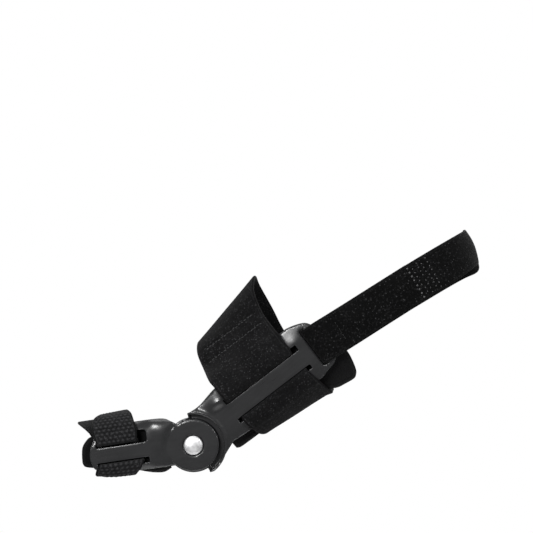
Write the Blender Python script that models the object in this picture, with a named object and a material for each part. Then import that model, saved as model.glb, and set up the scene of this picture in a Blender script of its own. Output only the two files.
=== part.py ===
"""A hinged toe splint in its worn shape.

Two riveted plates lie in line on the near side. A tabbed strap forms the toe loop on the short
plate, a wide band forms the midfoot loop on the long plate, and a narrower strap forms the heel
loop behind it. Metres, +Z up. The toe end points to -X, the heel end to +X, and the rivet's dome
faces -Y. The origin is the middle of the hollow inside the wide band.
"""

import math

import bmesh
import bpy
import numpy as np
from mathutils import Matrix

MM = 0.001

# Where the hinge lies from the origin, and how the two plates lean from the horizontal
HINGE_X = -40.0 * MM
HINGE_Z = -46.9 * MM
FACE_Y = -38.5 * MM
REAR_LEAN = 37.5
TOE_LEAN = 8.3

# Walls and clearances that the pieces share
PLATE_WALL = 2.4 * MM
EDGE_CHAMFER = 0.45 * MM
CLEARANCE = 0.3 * MM
WRAP_WALL = 1.8 * MM
TOE_STRAP_WALL = 1.6 * MM
HEEL_STRAP_WALL = 2.0 * MM
REAR_PAD_WALL = 3.0 * MM
TOE_PAD_WALL = 2.5 * MM

# The hinge: the toe plate's disc turns in a pocket of the rear plate, on a domed rivet
DISC_RADIUS = 14.5 * MM
POCKET_GAP = 2.8 * MM
LAP_WALL = 2.0 * MM
LAP_MARGIN = 1.0 * MM
SHOULDER_LIP = 1.5 * MM
SHOULDER_TOP = 63.5
SHOULDER_LOW = -95.5
SHOULDER_TAPER = 7.0
TONGUE_SPAN = 42.0
STEP_WIDTH = 0.35 * MM
NECK_TOP = 60.0
SHANK_RADIUS = 2.6 * MM
HEAD_RADIUS = 5.35 * MM
DOME_HEIGHT = 1.8 * MM
TAIL_RADIUS = 4.8 * MM
TAIL_HEIGHT = 1.0 * MM
RECESS_DEPTH = 0.8 * MM
RECESS_MARGIN = 0.65 * MM

# The rear plate, measured from the hinge along its own length and up across it
REAR_LENGTH = 95.2 * MM
REAR_TOP = 20.1 * MM
REAR_DROP = 14.0 * MM
REAR_BAR_TOP = 6.4 * MM
REAR_BAR_LOW = 3.5 * MM
REAR_FLANK_RADIUS = 18.0 * MM
WRAP_SLOT_FRONT = 28.6 * MM
UPPER_SLOT_PLAY = 1.8 * MM
LOWER_SLOT_PLAY = 1.0 * MM
HEEL_SLOT_INSET = 8.1 * MM
HEEL_SLOT_BRIDGE = 7.5 * MM
HEEL_SLOT_MIDDLE = 2.7 * MM
HEEL_SLOT_PLAY = 0.8 * MM
SLOT_CORNER = 0.8 * MM

# The toe plate, measured from the hinge towards the toe end and up across it
TOE_LENGTH = 58.3 * MM
TOE_TOP = 17.6 * MM
TOE_DROP = 9.8 * MM
TOE_BAR_TOP = 5.8 * MM
TOE_BAR_LOW = 2.5 * MM
TOE_FLANK_RADIUS = 13.0 * MM
TOE_SLOT_REAR = 25.2 * MM
TOE_SLOT_LENGTH = 29.6 * MM
TOE_UPPER_SLOT = 7.1 * MM
TOE_LOWER_SLOT = 3.4 * MM

# The linings
REAR_PAD_FRONT = 17.0 * MM
REAR_PAD_LENGTH = 83.9 * MM
REAR_PAD_TOP = 16.8 * MM
REAR_PAD_DROP = 26.0 * MM
TOE_PAD_REAR = 14.0 * MM
TOE_PAD_LENGTH = 49.6 * MM
TOE_PAD_TOP = 15.2 * MM
TOE_PAD_DROP = 13.7 * MM

# The midfoot band: its play in its slots, and the height and depth of its hollow at two places
WRAP_PLAY = 3.0 * MM
GIRTH_FRONT_AT = 32.0 * MM
GIRTH_REAR_AT = 84.0 * MM
INSTEP_FRONT = 42.3 * MM
INSTEP_REAR = 53.8 * MM
SOLE_FRONT = 21.4 * MM
SOLE_REAR = 26.8 * MM
HOLLOW_DEPTH = 8.0 * MM
OUTER_SIDE_FRONT = 86.0 * MM
OUTER_SIDE_REAR = 70.0 * MM

# The toe loop's strap, and the hollow inside it
TOE_STRAP_PLAY = 5.6 * MM
TOE_OUTER_SIDE = 31.0 * MM
TOE_CREST_REAR = 21.7 * MM
TOE_CREST_FRONT = 19.1 * MM
TOE_SOLE_REAR = 12.3 * MM
TOE_SOLE_FRONT = 9.7 * MM

# The heel strap: it lies in a plane that leans up from the cross slot to the back of its loop
HEEL_STRAP_WIDTH = 23.0 * MM
HEEL_STRAP_LEAN = 31.8
HEEL_REACH = 110.0 * MM
HEEL_HALF_WIDTH = 31.5 * MM
HEEL_TAIL = 78.0 * MM
HEEL_END_OVERLAP = 36.0 * MM
FAR_SIDE_LOWERING = 5.0 * MM

WELD = 0.002 * MM
PLASTIC = ("charcoal_plastic", (0.045, 0.046, 0.049), 0.36, 0.0)
RIVET_METAL = ("satin_metal", (0.78, 0.78, 0.80), 0.22, 1.0)
VELOUR = ("black_velour", (0.012, 0.012, 0.013), 0.95, 0.0)
HOOK_TAPE = ("charcoal_hook_tape", (0.021, 0.021, 0.023), 0.85, 0.0)
LINING = ("black_lining", (0.010, 0.010, 0.011), 0.92, 0.0)


def clear_scene():
    for thing in list(bpy.data.objects):
        bpy.data.objects.remove(thing, do_unlink=True)


def material(finish):
    """The Principled material of one finish, made once."""
    name, colour, roughness, metallic = finish
    made = bpy.data.materials.get(name) or bpy.data.materials.new(name)
    made.use_nodes = True
    shader = made.node_tree.nodes["Principled BSDF"]
    shader.inputs["Base Color"].default_value = (*colour, 1.0)
    shader.inputs["Roughness"].default_value = roughness
    shader.inputs["Metallic"].default_value = metallic
    return made


def plate_frame(name, lean):
    """An empty on the hinge's axis whose X runs along a plate and whose Z runs up across it."""
    frame = bpy.data.objects.new(name, None)
    bpy.context.collection.objects.link(frame)
    turn = Matrix.Rotation(-math.radians(lean), 4, "Y")
    frame.matrix_world = Matrix.Translation((HINGE_X, FACE_Y, HINGE_Z)) @ turn
    return frame


def add_object(name, bm, finish, frame, sharp=32.0):
    bmesh.ops.recalc_face_normals(bm, faces=bm.faces[:])
    if bm.calc_volume(signed=True) < 0:
        bmesh.ops.reverse_faces(bm, faces=bm.faces[:])
    mesh = bpy.data.meshes.new(name)
    bm.to_mesh(mesh)
    bm.free()
    mesh.shade_smooth()
    mesh.set_sharp_from_angle(angle=math.radians(sharp))
    mesh.materials.append(material(finish))
    made = bpy.data.objects.new(name, mesh)
    bpy.context.collection.objects.link(made)
    made.parent = frame
    return made


def ease(share):
    """0 below 0, 1 above 1 and a soft rise between them."""
    share = min(max(share, 0.0), 1.0)
    return share * share * (3.0 - 2.0 * share)


def mix(a, b, share):
    return a + (b - a) * share


def arc(radius, start, end, steps):
    """Points on an arc about the hinge, its angles in degrees from the plate's own axis."""
    turns = [math.radians(mix(start, end, k / steps)) for k in range(steps + 1)]
    return [(radius * math.cos(turn), radius * math.sin(turn)) for turn in turns]


def curve_through(points, steps):
    """A smooth line through all the points, with so many pieces between each two."""
    points = np.array(points, float)
    padded = np.vstack([2 * points[0] - points[1], points, 2 * points[-1] - points[-2]])
    line = []
    for a, b, c, d in zip(padded, padded[1:], padded[2:], padded[3:]):
        for k in range(steps):
            t = k / steps
            line.append(0.5 * (2 * b + (c - a) * t + (2 * a - 5 * b + 4 * c - d) * t * t
                               + (3 * b - a - 3 * c + d) * t ** 3))
    line.append(points[-1])
    return np.array(line)


def smooth_outline(points, steps=3):
    return [tuple(point) for point in curve_through(points, steps)]


def rounded_loop(corners, radius, steps=3):
    """A closed outline with each of its corners rounded."""
    corners = np.array(corners, float)
    loop = []
    for k, corner in enumerate(corners):
        before = corners[k - 1] - corner
        after = corners[(k + 1) % len(corners)] - corner
        reach = min(radius, 0.45 * np.linalg.norm(before), 0.45 * np.linalg.norm(after))
        start = corner + before / np.linalg.norm(before) * reach
        end = corner + after / np.linalg.norm(after) * reach
        for step in range(steps + 1):
            t = step / steps
            loop.append(tuple((1 - t) ** 2 * start + 2 * t * (1 - t) * corner + t * t * end))
    return loop


def fill(bm, outline, holes=()):
    """A flat face region in the plate's XZ plane, with holes."""
    edges = []
    for loop in (outline, *holes):
        ring = [bm.verts.new((x, 0.0, z)) for x, z in loop]
        edges += [bm.edges.new((ring[k - 1], ring[k])) for k in range(len(ring))]
    bmesh.ops.triangle_fill(bm, use_beauty=True, use_dissolve=False, edges=edges,
                            normal=(0.0, -1.0, 0.0))


def cut_grid(bm, along, across, keep_out=0.0):
    """Cuts the flat region into strips, so that it can bend, outside a circle round the hinge."""
    for axis, places in ((0, along), (2, across)):
        for place in places:
            point, normal = [0.0] * 3, [0.0] * 3
            point[axis], normal[axis] = place, 1.0
            faces = [f for f in bm.faces
                     if max(math.hypot(v.co.x, v.co.z) for v in f.verts) > keep_out]
            edges = {e for f in faces for e in f.edges}
            verts = {v for f in faces for v in f.verts}
            bmesh.ops.bisect_plane(bm, geom=[*faces, *edges, *verts], dist=WELD,
                                   plane_co=point, plane_no=normal)


def thicken(bm, outer, inner, chamfer):
    """Turns a flat region into a closed solid between two surfaces, its rims chamfered."""
    bmesh.ops.triangulate(bm, faces=bm.faces[:], quad_method="BEAUTY", ngon_method="BEAUTY")
    rim = bm.verts.layers.float.new("rim")
    for vert in bm.verts:
        vert[rim] = chamfer if vert.is_boundary else 0.0
    grown = bmesh.ops.extrude_face_region(bm, geom=bm.faces[:])
    back = {item for item in grown["geom"] if isinstance(item, bmesh.types.BMVert)}
    for vert in bm.verts:
        x, z = vert.co.x, vert.co.z
        vert.co.y = inner(x, z) - vert[rim] if vert in back else outer(x, z) + vert[rim]


def steps_between(start, end, count):
    return [mix(start, end, (k + 1) / (count + 1)) for k in range(count)]


# Surfaces of the two plates, as depth behind their outer flat face

POCKET_RADIUS = DISC_RADIUS + POCKET_GAP
LAP_RADIUS = DISC_RADIUS + LAP_MARGIN
LAP_FRONT = PLATE_WALL + CLEARANCE
LAP_BACK = LAP_FRONT + LAP_WALL
BORE_RADIUS = SHANK_RADIUS + CLEARANCE
RECESS_RADIUS = HEAD_RADIUS + RECESS_MARGIN
HEEL_SLOT_AT = REAR_LENGTH - HEEL_SLOT_INSET
WRAP_SLOT_REAR = HEEL_SLOT_AT - HEEL_SLOT_BRIDGE
WRAP_WIDTH = WRAP_SLOT_REAR - WRAP_SLOT_FRONT - WRAP_PLAY
TOE_STRAP_WIDTH = TOE_SLOT_LENGTH - TOE_STRAP_PLAY
UPPER_SLOT_TOP = REAR_BAR_TOP + WRAP_WALL + UPPER_SLOT_PLAY
LOWER_SLOT_LOW = REAR_BAR_LOW + WRAP_WALL + LOWER_SLOT_PLAY
HEEL_SLOT_HALF = (HEEL_STRAP_WALL + HEEL_SLOT_PLAY) / 2
FLAT_HEAD = 0.25


def flank(z, low, high, radius):
    """How far a plate curves inwards at height z: flat from -low to high."""
    past = max(z - high, -low - z, 0.0)
    return past * past / (2 * radius)


def rear_bend(x):
    """Share of the flanks' full curve: little at the hinge and at the rear head."""
    rise = ease((x - POCKET_RADIUS / 2) / (WRAP_SLOT_FRONT - POCKET_RADIUS / 2))
    fall = ease((HEEL_SLOT_AT - x) / (HEEL_SLOT_AT - WRAP_SLOT_REAR + REAR_BAR_LOW))
    return mix(FLAT_HEAD, 1.0, min(rise, fall))


def rear_outer(x, z):
    if math.hypot(x, z) < POCKET_RADIUS - STEP_WIDTH / 2:
        return LAP_FRONT
    return rear_bend(x) * flank(z, REAR_BAR_LOW, REAR_BAR_TOP, REAR_FLANK_RADIUS)


def rear_inner(x, z):
    reach = math.hypot(x, z)
    thinned = max(rear_outer(x, z), 0.0) + PLATE_WALL
    if reach < POCKET_RADIUS - STEP_WIDTH / 2:
        return LAP_BACK
    fade = ease((reach - POCKET_RADIUS) / (DISC_RADIUS / 2))
    return mix(max(LAP_BACK, thinned), thinned, fade)


def toe_bend(x, z):
    return mix(0.4, 1.0, ease((math.hypot(x, z) - DISC_RADIUS) / (DISC_RADIUS * 0.8)))


def toe_outer(x, z):
    reach = math.hypot(x, z)
    if reach < RECESS_RADIUS - STEP_WIDTH / 2:
        return RECESS_DEPTH
    if reach < DISC_RADIUS + STEP_WIDTH / 2:
        return 0.0
    return toe_bend(x, z) * flank(z, TOE_BAR_LOW, TOE_BAR_TOP, TOE_FLANK_RADIUS)


def toe_inner(x, z):
    reach = math.hypot(x, z)
    clear = LAP_RADIUS + 6 * CLEARANCE
    if reach < clear:
        return PLATE_WALL
    fade = ease((reach - clear) / (2 * PLATE_WALL))
    return PLATE_WALL + fade * toe_outer(x, z)


# Outlines, in shares of a plate's length and of its reach above or below the hinge's line

REAR_UPPER_EDGE = (
    # along, up
    (0.175, 0.78),
    (0.309, 0.90),
    (0.550, 0.97),
    (0.803, 1.00),
    (0.871, 0.98),
    (0.949, 0.85),
    (0.981, 0.69),
    (1.000, 0.42),
    (1.000, 0.10),
)
REAR_LOWER_EDGE = (
    # along, down
    (0.995, 0.40),
    (0.987, 0.66),
    (0.953, 0.82),
    (0.891, 0.92),
    (0.824, 1.00),
    (0.560, 0.97),
    (0.319, 0.91),
    (0.206, 0.85),
)
TOE_UPPER_EDGE = (
    # along, up
    (0.182, 0.86),
    (0.240, 0.96),
    (0.343, 1.00),
    (0.528, 0.99),
    (0.806, 0.97),
    (0.883, 0.88),
    (0.929, 0.71),
    (0.953, 0.54),
    (0.988, 0.31),
    (1.000, 0.06),
)
TOE_LOWER_EDGE = (
    # along, down
    (0.988, 0.31),
    (0.964, 0.60),
    (0.892, 0.84),
    (0.772, 0.94),
    (0.499, 0.99),
    (0.309, 1.00),
)


def table_points(table, length, height, start=0.0):
    return [(start + along * length, across * height) for along, across in table]


def on_arc(radius, turn):
    return arc(radius, turn, turn, 1)[0]


def rear_outline():
    """The rear plate's outline outside its pocket, from the shoulder's top round the rear end."""
    lip, tip = POCKET_RADIUS + SHOULDER_LIP, POCKET_RADIUS + SHOULDER_LIP / 2
    upper = table_points(REAR_UPPER_EDGE, REAR_LENGTH, REAR_TOP)
    lower = table_points(REAR_LOWER_EDGE, REAR_LENGTH, -REAR_DROP)
    horn = [on_arc(tip, SHOULDER_TOP), on_arc(lip, SHOULDER_TOP - SHOULDER_TAPER)]
    tongue = arc(lip, SHOULDER_LOW + TONGUE_SPAN, SHOULDER_LOW + SHOULDER_TAPER, 3)
    return smooth_outline([*horn, *upper, *lower]) + tongue + [on_arc(tip, SHOULDER_LOW)]


def slot(start, end, low, high):
    corners = ((start, low), (end, low), (end, high), (start, high))
    return rounded_loop(corners, SLOT_CORNER)


def build_rear_plate(frame):
    """The long plate: flat bar between two slots, a cross slot, and the hinge's pocket and lap."""
    bm = bmesh.new()
    inner_edge = POCKET_RADIUS - STEP_WIDTH
    rim = arc(POCKET_RADIUS, SHOULDER_LOW, SHOULDER_TOP, 24)
    step = arc(inner_edge, SHOULDER_LOW, SHOULDER_TOP, 24)
    free = arc(LAP_RADIUS, SHOULDER_TOP, SHOULDER_LOW + 360, 24)
    holes = (
        slot(WRAP_SLOT_FRONT, WRAP_SLOT_REAR, REAR_BAR_TOP, UPPER_SLOT_TOP),
        slot(WRAP_SLOT_FRONT, WRAP_SLOT_REAR, -LOWER_SLOT_LOW, -REAR_BAR_LOW),
        slot(HEEL_SLOT_AT - HEEL_SLOT_HALF, HEEL_SLOT_AT + HEEL_SLOT_HALF,
             HEEL_SLOT_MIDDLE - (HEEL_STRAP_WIDTH + HEEL_SLOT_PLAY) / 2,
             HEEL_SLOT_MIDDLE + (HEEL_STRAP_WIDTH + HEEL_SLOT_PLAY) / 2),
    )
    fill(bm, rear_outline() + rim, holes)
    fill(bm, rim + step[::-1])
    fill(bm, step + free, (arc(BORE_RADIUS, 0, 360 - 360 / 20, 19),))
    bmesh.ops.remove_doubles(bm, verts=bm.verts[:], dist=WELD)
    bmesh.ops.inset_region(bm, faces=bm.faces[:], thickness=EDGE_CHAMFER, use_boundary=True,
                           use_even_offset=True)
    cut_grid(bm, [POCKET_RADIUS + DISC_RADIUS / 4, *steps_between(POCKET_RADIUS, REAR_LENGTH, 8)],
             [-REAR_DROP * 0.72, -LOWER_SLOT_LOW, -REAR_BAR_LOW, REAR_BAR_TOP, UPPER_SLOT_TOP,
              REAR_TOP * 0.68, REAR_TOP * 0.85], POCKET_RADIUS + WELD)
    thicken(bm, rear_outer, rear_inner, EDGE_CHAMFER)
    return add_object("rear_plate", bm, PLASTIC, frame)


def toe_outline():
    """The toe plate's outline outside its disc, from the neck's top round the front end."""
    upper = table_points(TOE_UPPER_EDGE, TOE_LENGTH, TOE_TOP)
    lower = table_points(TOE_LOWER_EDGE, TOE_LENGTH, -TOE_DROP)
    return smooth_outline([*upper, *lower])


def mirrored(points):
    """The toe plate runs to -X of its frame."""
    return [(-x, z) for x, z in points]


def build_toe_plate(frame):
    """The short plate: the hinge's outer disc, a neck, a flat bar between two slots, round front."""
    bm = bmesh.new()
    neck_low = -math.degrees(math.asin(TOE_DROP / (DISC_RADIUS + STEP_WIDTH)))
    edge = arc(DISC_RADIUS, neck_low, NECK_TOP, 12)
    outside = arc(DISC_RADIUS + STEP_WIDTH, neck_low, NECK_TOP, 12)
    free = arc(DISC_RADIUS, NECK_TOP, neck_low + 360, 28)
    lip, floor = RECESS_RADIUS, RECESS_RADIUS - STEP_WIDTH
    lip_ring, floor_ring, bore_ring = (
        arc(radius, 0, 360 - 360 / 20, 19) for radius in (lip, floor, BORE_RADIUS))
    slot_front = TOE_SLOT_REAR + TOE_SLOT_LENGTH
    slot_top = TOE_BAR_TOP + TOE_UPPER_SLOT
    upper_slot = ((TOE_SLOT_REAR, TOE_BAR_TOP), (slot_front, TOE_BAR_TOP),
                  (slot_front - 0.04 * TOE_SLOT_LENGTH, mix(TOE_BAR_TOP, slot_top, 0.5)),
                  (slot_front - 0.15 * TOE_SLOT_LENGTH, slot_top), (TOE_SLOT_REAR, slot_top))
    lower_slot = ((TOE_SLOT_REAR, -TOE_BAR_LOW - TOE_LOWER_SLOT),
                  (slot_front - 0.02 * TOE_SLOT_LENGTH, -TOE_BAR_LOW - TOE_LOWER_SLOT),
                  (slot_front, -TOE_BAR_LOW), (TOE_SLOT_REAR, -TOE_BAR_LOW))
    holes = (rounded_loop(upper_slot, 2.5 * SLOT_CORNER), rounded_loop(lower_slot, SLOT_CORNER))
    fill(bm, mirrored(toe_outline() + outside), [mirrored(hole) for hole in holes])
    fill(bm, mirrored(outside + edge[::-1]))
    fill(bm, mirrored(edge + free[1:-1]), (lip_ring,))
    fill(bm, lip_ring, (floor_ring,))
    fill(bm, floor_ring, (bore_ring,))
    bmesh.ops.remove_doubles(bm, verts=bm.verts[:], dist=WELD)
    bmesh.ops.inset_region(bm, faces=bm.faces[:], thickness=EDGE_CHAMFER, use_boundary=True,
                           use_even_offset=True)
    cut_grid(bm, [-x for x in steps_between(DISC_RADIUS, TOE_LENGTH, 6)],
             [-TOE_DROP * 0.8, -TOE_BAR_LOW - TOE_LOWER_SLOT, -TOE_BAR_LOW, TOE_BAR_TOP,
              TOE_TOP * 0.55, slot_top, TOE_TOP * 0.87], DISC_RADIUS + STEP_WIDTH + WELD)
    thicken(bm, toe_outer, toe_inner, EDGE_CHAMFER)
    return add_object("toe_plate", bm, PLASTIC, frame)


def build_rivet(frame):
    """The hinge pin: a domed head in the disc's recess, a shank, and a flat tail behind the lap."""
    under_head = RECESS_DEPTH - CLEARANCE
    tail = LAP_BACK + CLEARANCE
    dome = [(HEAD_RADIUS * math.cos(turn), under_head - DOME_HEIGHT * math.sin(turn))
            for turn in (math.radians(90 * k / 6) for k in range(1, 6))]
    profile = [(0.0, under_head - DOME_HEIGHT), *dome[::-1], (HEAD_RADIUS, under_head),
               (SHANK_RADIUS, under_head), (SHANK_RADIUS, tail), (TAIL_RADIUS, tail),
               (TAIL_RADIUS, tail + TAIL_HEIGHT), (0.0, tail + TAIL_HEIGHT)]
    bm = bmesh.new()
    line = [bm.verts.new((radius, depth, 0.0)) for radius, depth in profile]
    edges = [bm.edges.new(pair) for pair in zip(line, line[1:])]
    bmesh.ops.spin(bm, geom=[*line, *edges], cent=(0, 0, 0), axis=(0, 1, 0),
                   angle=2 * math.pi, steps=20, use_merge=True)
    bmesh.ops.remove_doubles(bm, verts=bm.verts[:], dist=WELD)
    return add_object("rivet", bm, RIVET_METAL, frame, 40.0)


# The linings follow the plates' curve, a strap's thickness behind them

PAD_STANDOFF = max(WRAP_WALL, HEEL_STRAP_WALL) + 2.7 * CLEARANCE
REAR_PAD_UPPER = (
    # along, up
    (0.000, 0.55),
    (0.030, 0.78),
    (0.120, 0.92),
    (0.500, 1.00),
    (0.840, 0.86),
    (0.930, 0.62),
    (0.980, 0.44),
    (1.000, 0.20),
)
REAR_PAD_LOWER = (
    # along, down
    (1.000, 0.40),
    (0.990, 0.76),
    (0.950, 0.94),
    (0.890, 1.00),
    (0.830, 0.985),
    (0.795, 0.92),
    (0.750, 0.85),
    (0.520, 0.77),
    (0.280, 0.71),
    (0.060, 0.69),
    (0.010, 0.64),
)
TOE_PAD_UPPER = (
    # along, up
    (0.000, 0.70),
    (0.080, 0.92),
    (0.330, 1.00),
    (0.640, 0.96),
    (0.860, 0.82),
    (0.930, 0.68),
    (0.980, 0.44),
    (1.000, 0.00),
)
TOE_PAD_LOWER = (
    # along, down
    (0.993, 0.20),
    (0.965, 0.30),
    (0.880, 0.385),
    (0.640, 0.58),
    (0.400, 0.74),
    (0.310, 0.85),
    (0.210, 0.96),
    (0.100, 1.00),
    (0.010, 0.86),
)


def rear_pad_outer(x, z):
    bend = max(rear_bend(x), 0.7)
    curve = bend * flank(z, REAR_BAR_LOW, REAR_BAR_TOP, REAR_FLANK_RADIUS)
    behind_band = ease((x - REAR_PAD_FRONT) / (WRAP_SLOT_FRONT - REAR_PAD_FRONT) * 1.4)
    stand = mix(CLEARANCE, PAD_STANDOFF, behind_band)
    return max(rear_inner(x, z) + 2.7 * CLEARANCE, curve + PLATE_WALL + stand)


def rear_pad_inner(x, z):
    return rear_pad_outer(x, z) + REAR_PAD_WALL


def toe_pad_outer(x, z):
    curve = flank(z, TOE_BAR_LOW, TOE_BAR_TOP, TOE_FLANK_RADIUS)
    return max(LAP_BACK + CLEARANCE if math.hypot(x, z) < POCKET_RADIUS + PLATE_WALL else 0.0,
               curve + PLATE_WALL + TOE_STRAP_WALL + 2 * CLEARANCE)


def toe_pad_inner(x, z):
    return toe_pad_outer(x, z) + TOE_PAD_WALL


def build_pad(name, outline, outer, inner, along, across, frame):
    bm = bmesh.new()
    fill(bm, outline)
    bmesh.ops.inset_region(bm, faces=bm.faces[:], thickness=2 * EDGE_CHAMFER, use_boundary=True,
                           use_even_offset=True)
    cut_grid(bm, along, across)
    thicken(bm, outer, inner, EDGE_CHAMFER)
    return add_object(name, bm, LINING, frame)


def build_rear_pad(frame):
    outline = smooth_outline(
        table_points(REAR_PAD_UPPER, REAR_PAD_LENGTH, REAR_PAD_TOP, REAR_PAD_FRONT)
        + table_points(REAR_PAD_LOWER, REAR_PAD_LENGTH, -REAR_PAD_DROP, REAR_PAD_FRONT), 2)
    rear = REAR_PAD_FRONT + REAR_PAD_LENGTH
    across = steps_between(-REAR_PAD_DROP, REAR_PAD_TOP, 7)
    return build_pad("midfoot_pad", outline, rear_pad_outer, rear_pad_inner,
                     steps_between(REAR_PAD_FRONT, WRAP_SLOT_FRONT, 2)
                     + steps_between(WRAP_SLOT_FRONT, rear, 7), across, frame)


def build_toe_pad(frame):
    outline = smooth_outline(
        table_points(TOE_PAD_UPPER, TOE_PAD_LENGTH, TOE_PAD_TOP, TOE_PAD_REAR)
        + table_points(TOE_PAD_LOWER, TOE_PAD_LENGTH, -TOE_PAD_DROP, TOE_PAD_REAR), 2)
    front = TOE_PAD_REAR + TOE_PAD_LENGTH
    across = steps_between(-TOE_PAD_DROP, TOE_PAD_TOP, 6)
    return build_pad("toe_pad", mirrored(outline), toe_pad_outer, toe_pad_inner,
                     [-x for x in steps_between(TOE_PAD_REAR, front, 5)], across, frame)


# Bands and straps: strips of even thickness, each given as a few lines that run along it


def build_strip(name, lines, wall, finish, frame, side=1.0):
    """A closed strip whose middle surface holds the lines, side by side from edge to edge."""
    surface = np.stack([np.array(line) for line in lines], axis=1)
    along = np.diff(surface, axis=0)
    across = np.gradient(surface, axis=1)
    middle = (across[1:] + across[:-1]) / 2
    faces = np.cross(along, middle)
    faces /= np.linalg.norm(faces, axis=2, keepdims=True)
    before = np.concatenate([faces[:1], faces])
    after = np.concatenate([faces, faces[-1:]])
    normal = before + after
    normal /= np.linalg.norm(normal, axis=2, keepdims=True)
    mitre = 1.0 / np.clip(np.sum(normal * before, axis=2, keepdims=True), 0.6, 1.0)
    offset = side * normal * mitre * wall / 2
    rows, columns = surface.shape[0] - 1, surface.shape[1] - 1
    bm = bmesh.new()
    bmesh.ops.create_grid(bm, x_segments=rows, y_segments=columns, size=0.5)
    grown = bmesh.ops.extrude_face_region(bm, geom=bm.faces[:])
    back = {item for item in grown["geom"] if isinstance(item, bmesh.types.BMVert)}
    for vert in bm.verts:
        row = round((vert.co.x + 0.5) * rows)
        column = round((vert.co.y + 0.5) * columns)
        shift = offset[row, column]
        vert.co = surface[row, column] + (shift if vert in back else -shift)
    return add_object(name, bm, finish, frame, 50.0)


def run_through(rows, steps):
    """The line along a strip: smooth where steps holds a number, straight where it holds 1."""
    line, start = [], 0
    for end, count in steps:
        piece = curve_through(rows[start:end + 1], count) if count > 1 else rows[start:end + 1]
        line += [np.array(point) for point in piece][:-1]
        start = end
    return line + [np.array(rows[-1])]


# The midfoot band. Its rows start at the end on the far side, run over the top, down to the
# upper slot, behind the bar, out of the lower slot and round below to the other end on top.

FAR_ROWS_OVER = (
    # inwards, up, front edge, rear edge
    (0.860, 0.57, 0.08, 1.04),
    (0.760, 0.74, 0.11, 1.10),
    (0.570, 0.93, 0.13, 1.15),
    (0.370, 1.00, 0.125, 1.18),
    (0.210, 0.94, 0.055, 1.06),
    (0.105, 0.79, 0.010, 0.985),
)
FAR_ROWS_UNDER = (
    # inwards, up, front edge, rear edge
    (0.220, 0.010, 0.200, 1.12),
    (0.400, 0.000, 0.227, 1.12),
    (0.620, 0.000, 0.210, 1.10),
    (0.840, 0.020, 0.160, 1.07),
    (0.965, 0.100, 0.120, 1.04),
    (1.000, 0.260, 0.100, 1.03),
    (0.965, 0.420, 0.090, 1.03),
)
FAR_ROWS_END = (
    # inwards, up, front edge, rear edge
    (0.900, 0.54, 0.085, 1.04),
    (0.800, 0.72, 0.110, 1.09),
    (0.640, 0.90, 0.135, 1.14),
)
BAND_LAYER = WRAP_WALL + 2 * CLEARANCE
NEAR_EDGES = (
    # place, front edge, rear edge
    ("above_plate", 0.000, 0.98),
    ("plate_top", 0.010, 0.985),
    ("side_bar_top", 0.010, 0.98),
    ("upper_slot", 0.010, 0.98),
    ("bar", 0.020, 0.98),
    ("lower_slot", 0.045, 1.00),
    ("side_bar_low", 0.050, 1.02),
    ("plate_low", 0.070, 1.035),
    ("over_pad", 0.090, 1.07),
    ("under_pad", 0.133, 1.10),
    ("sole_near", 0.170, 1.12),
)


def across_table(table, x, length, height, start=0.0):
    """The height of an outline's table at a place along it."""
    points = sorted(table_points(table, length, height, start))
    return float(np.interp(x, [p[0] for p in points], [p[1] for p in points]))


def girth_share(x):
    return (x - GIRTH_FRONT_AT) / (GIRTH_REAR_AT - GIRTH_FRONT_AT)


def far_point(x, across, up, lift=0.0):
    """A point of the band's middle on the hollow's round, lift outside it."""
    share = girth_share(x)
    top = mix(INSTEP_FRONT, INSTEP_REAR, share)
    low = -mix(SOLE_FRONT, SOLE_REAR, share)
    side = mix(OUTER_SIDE_FRONT, OUTER_SIDE_REAR, share)
    outward = np.array([across - 0.45, up - 0.45])
    outward = outward / np.linalg.norm(outward) * lift
    return (x, mix(HOLLOW_DEPTH, side, across) + outward[0], mix(low, top, up) + outward[1])


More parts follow.
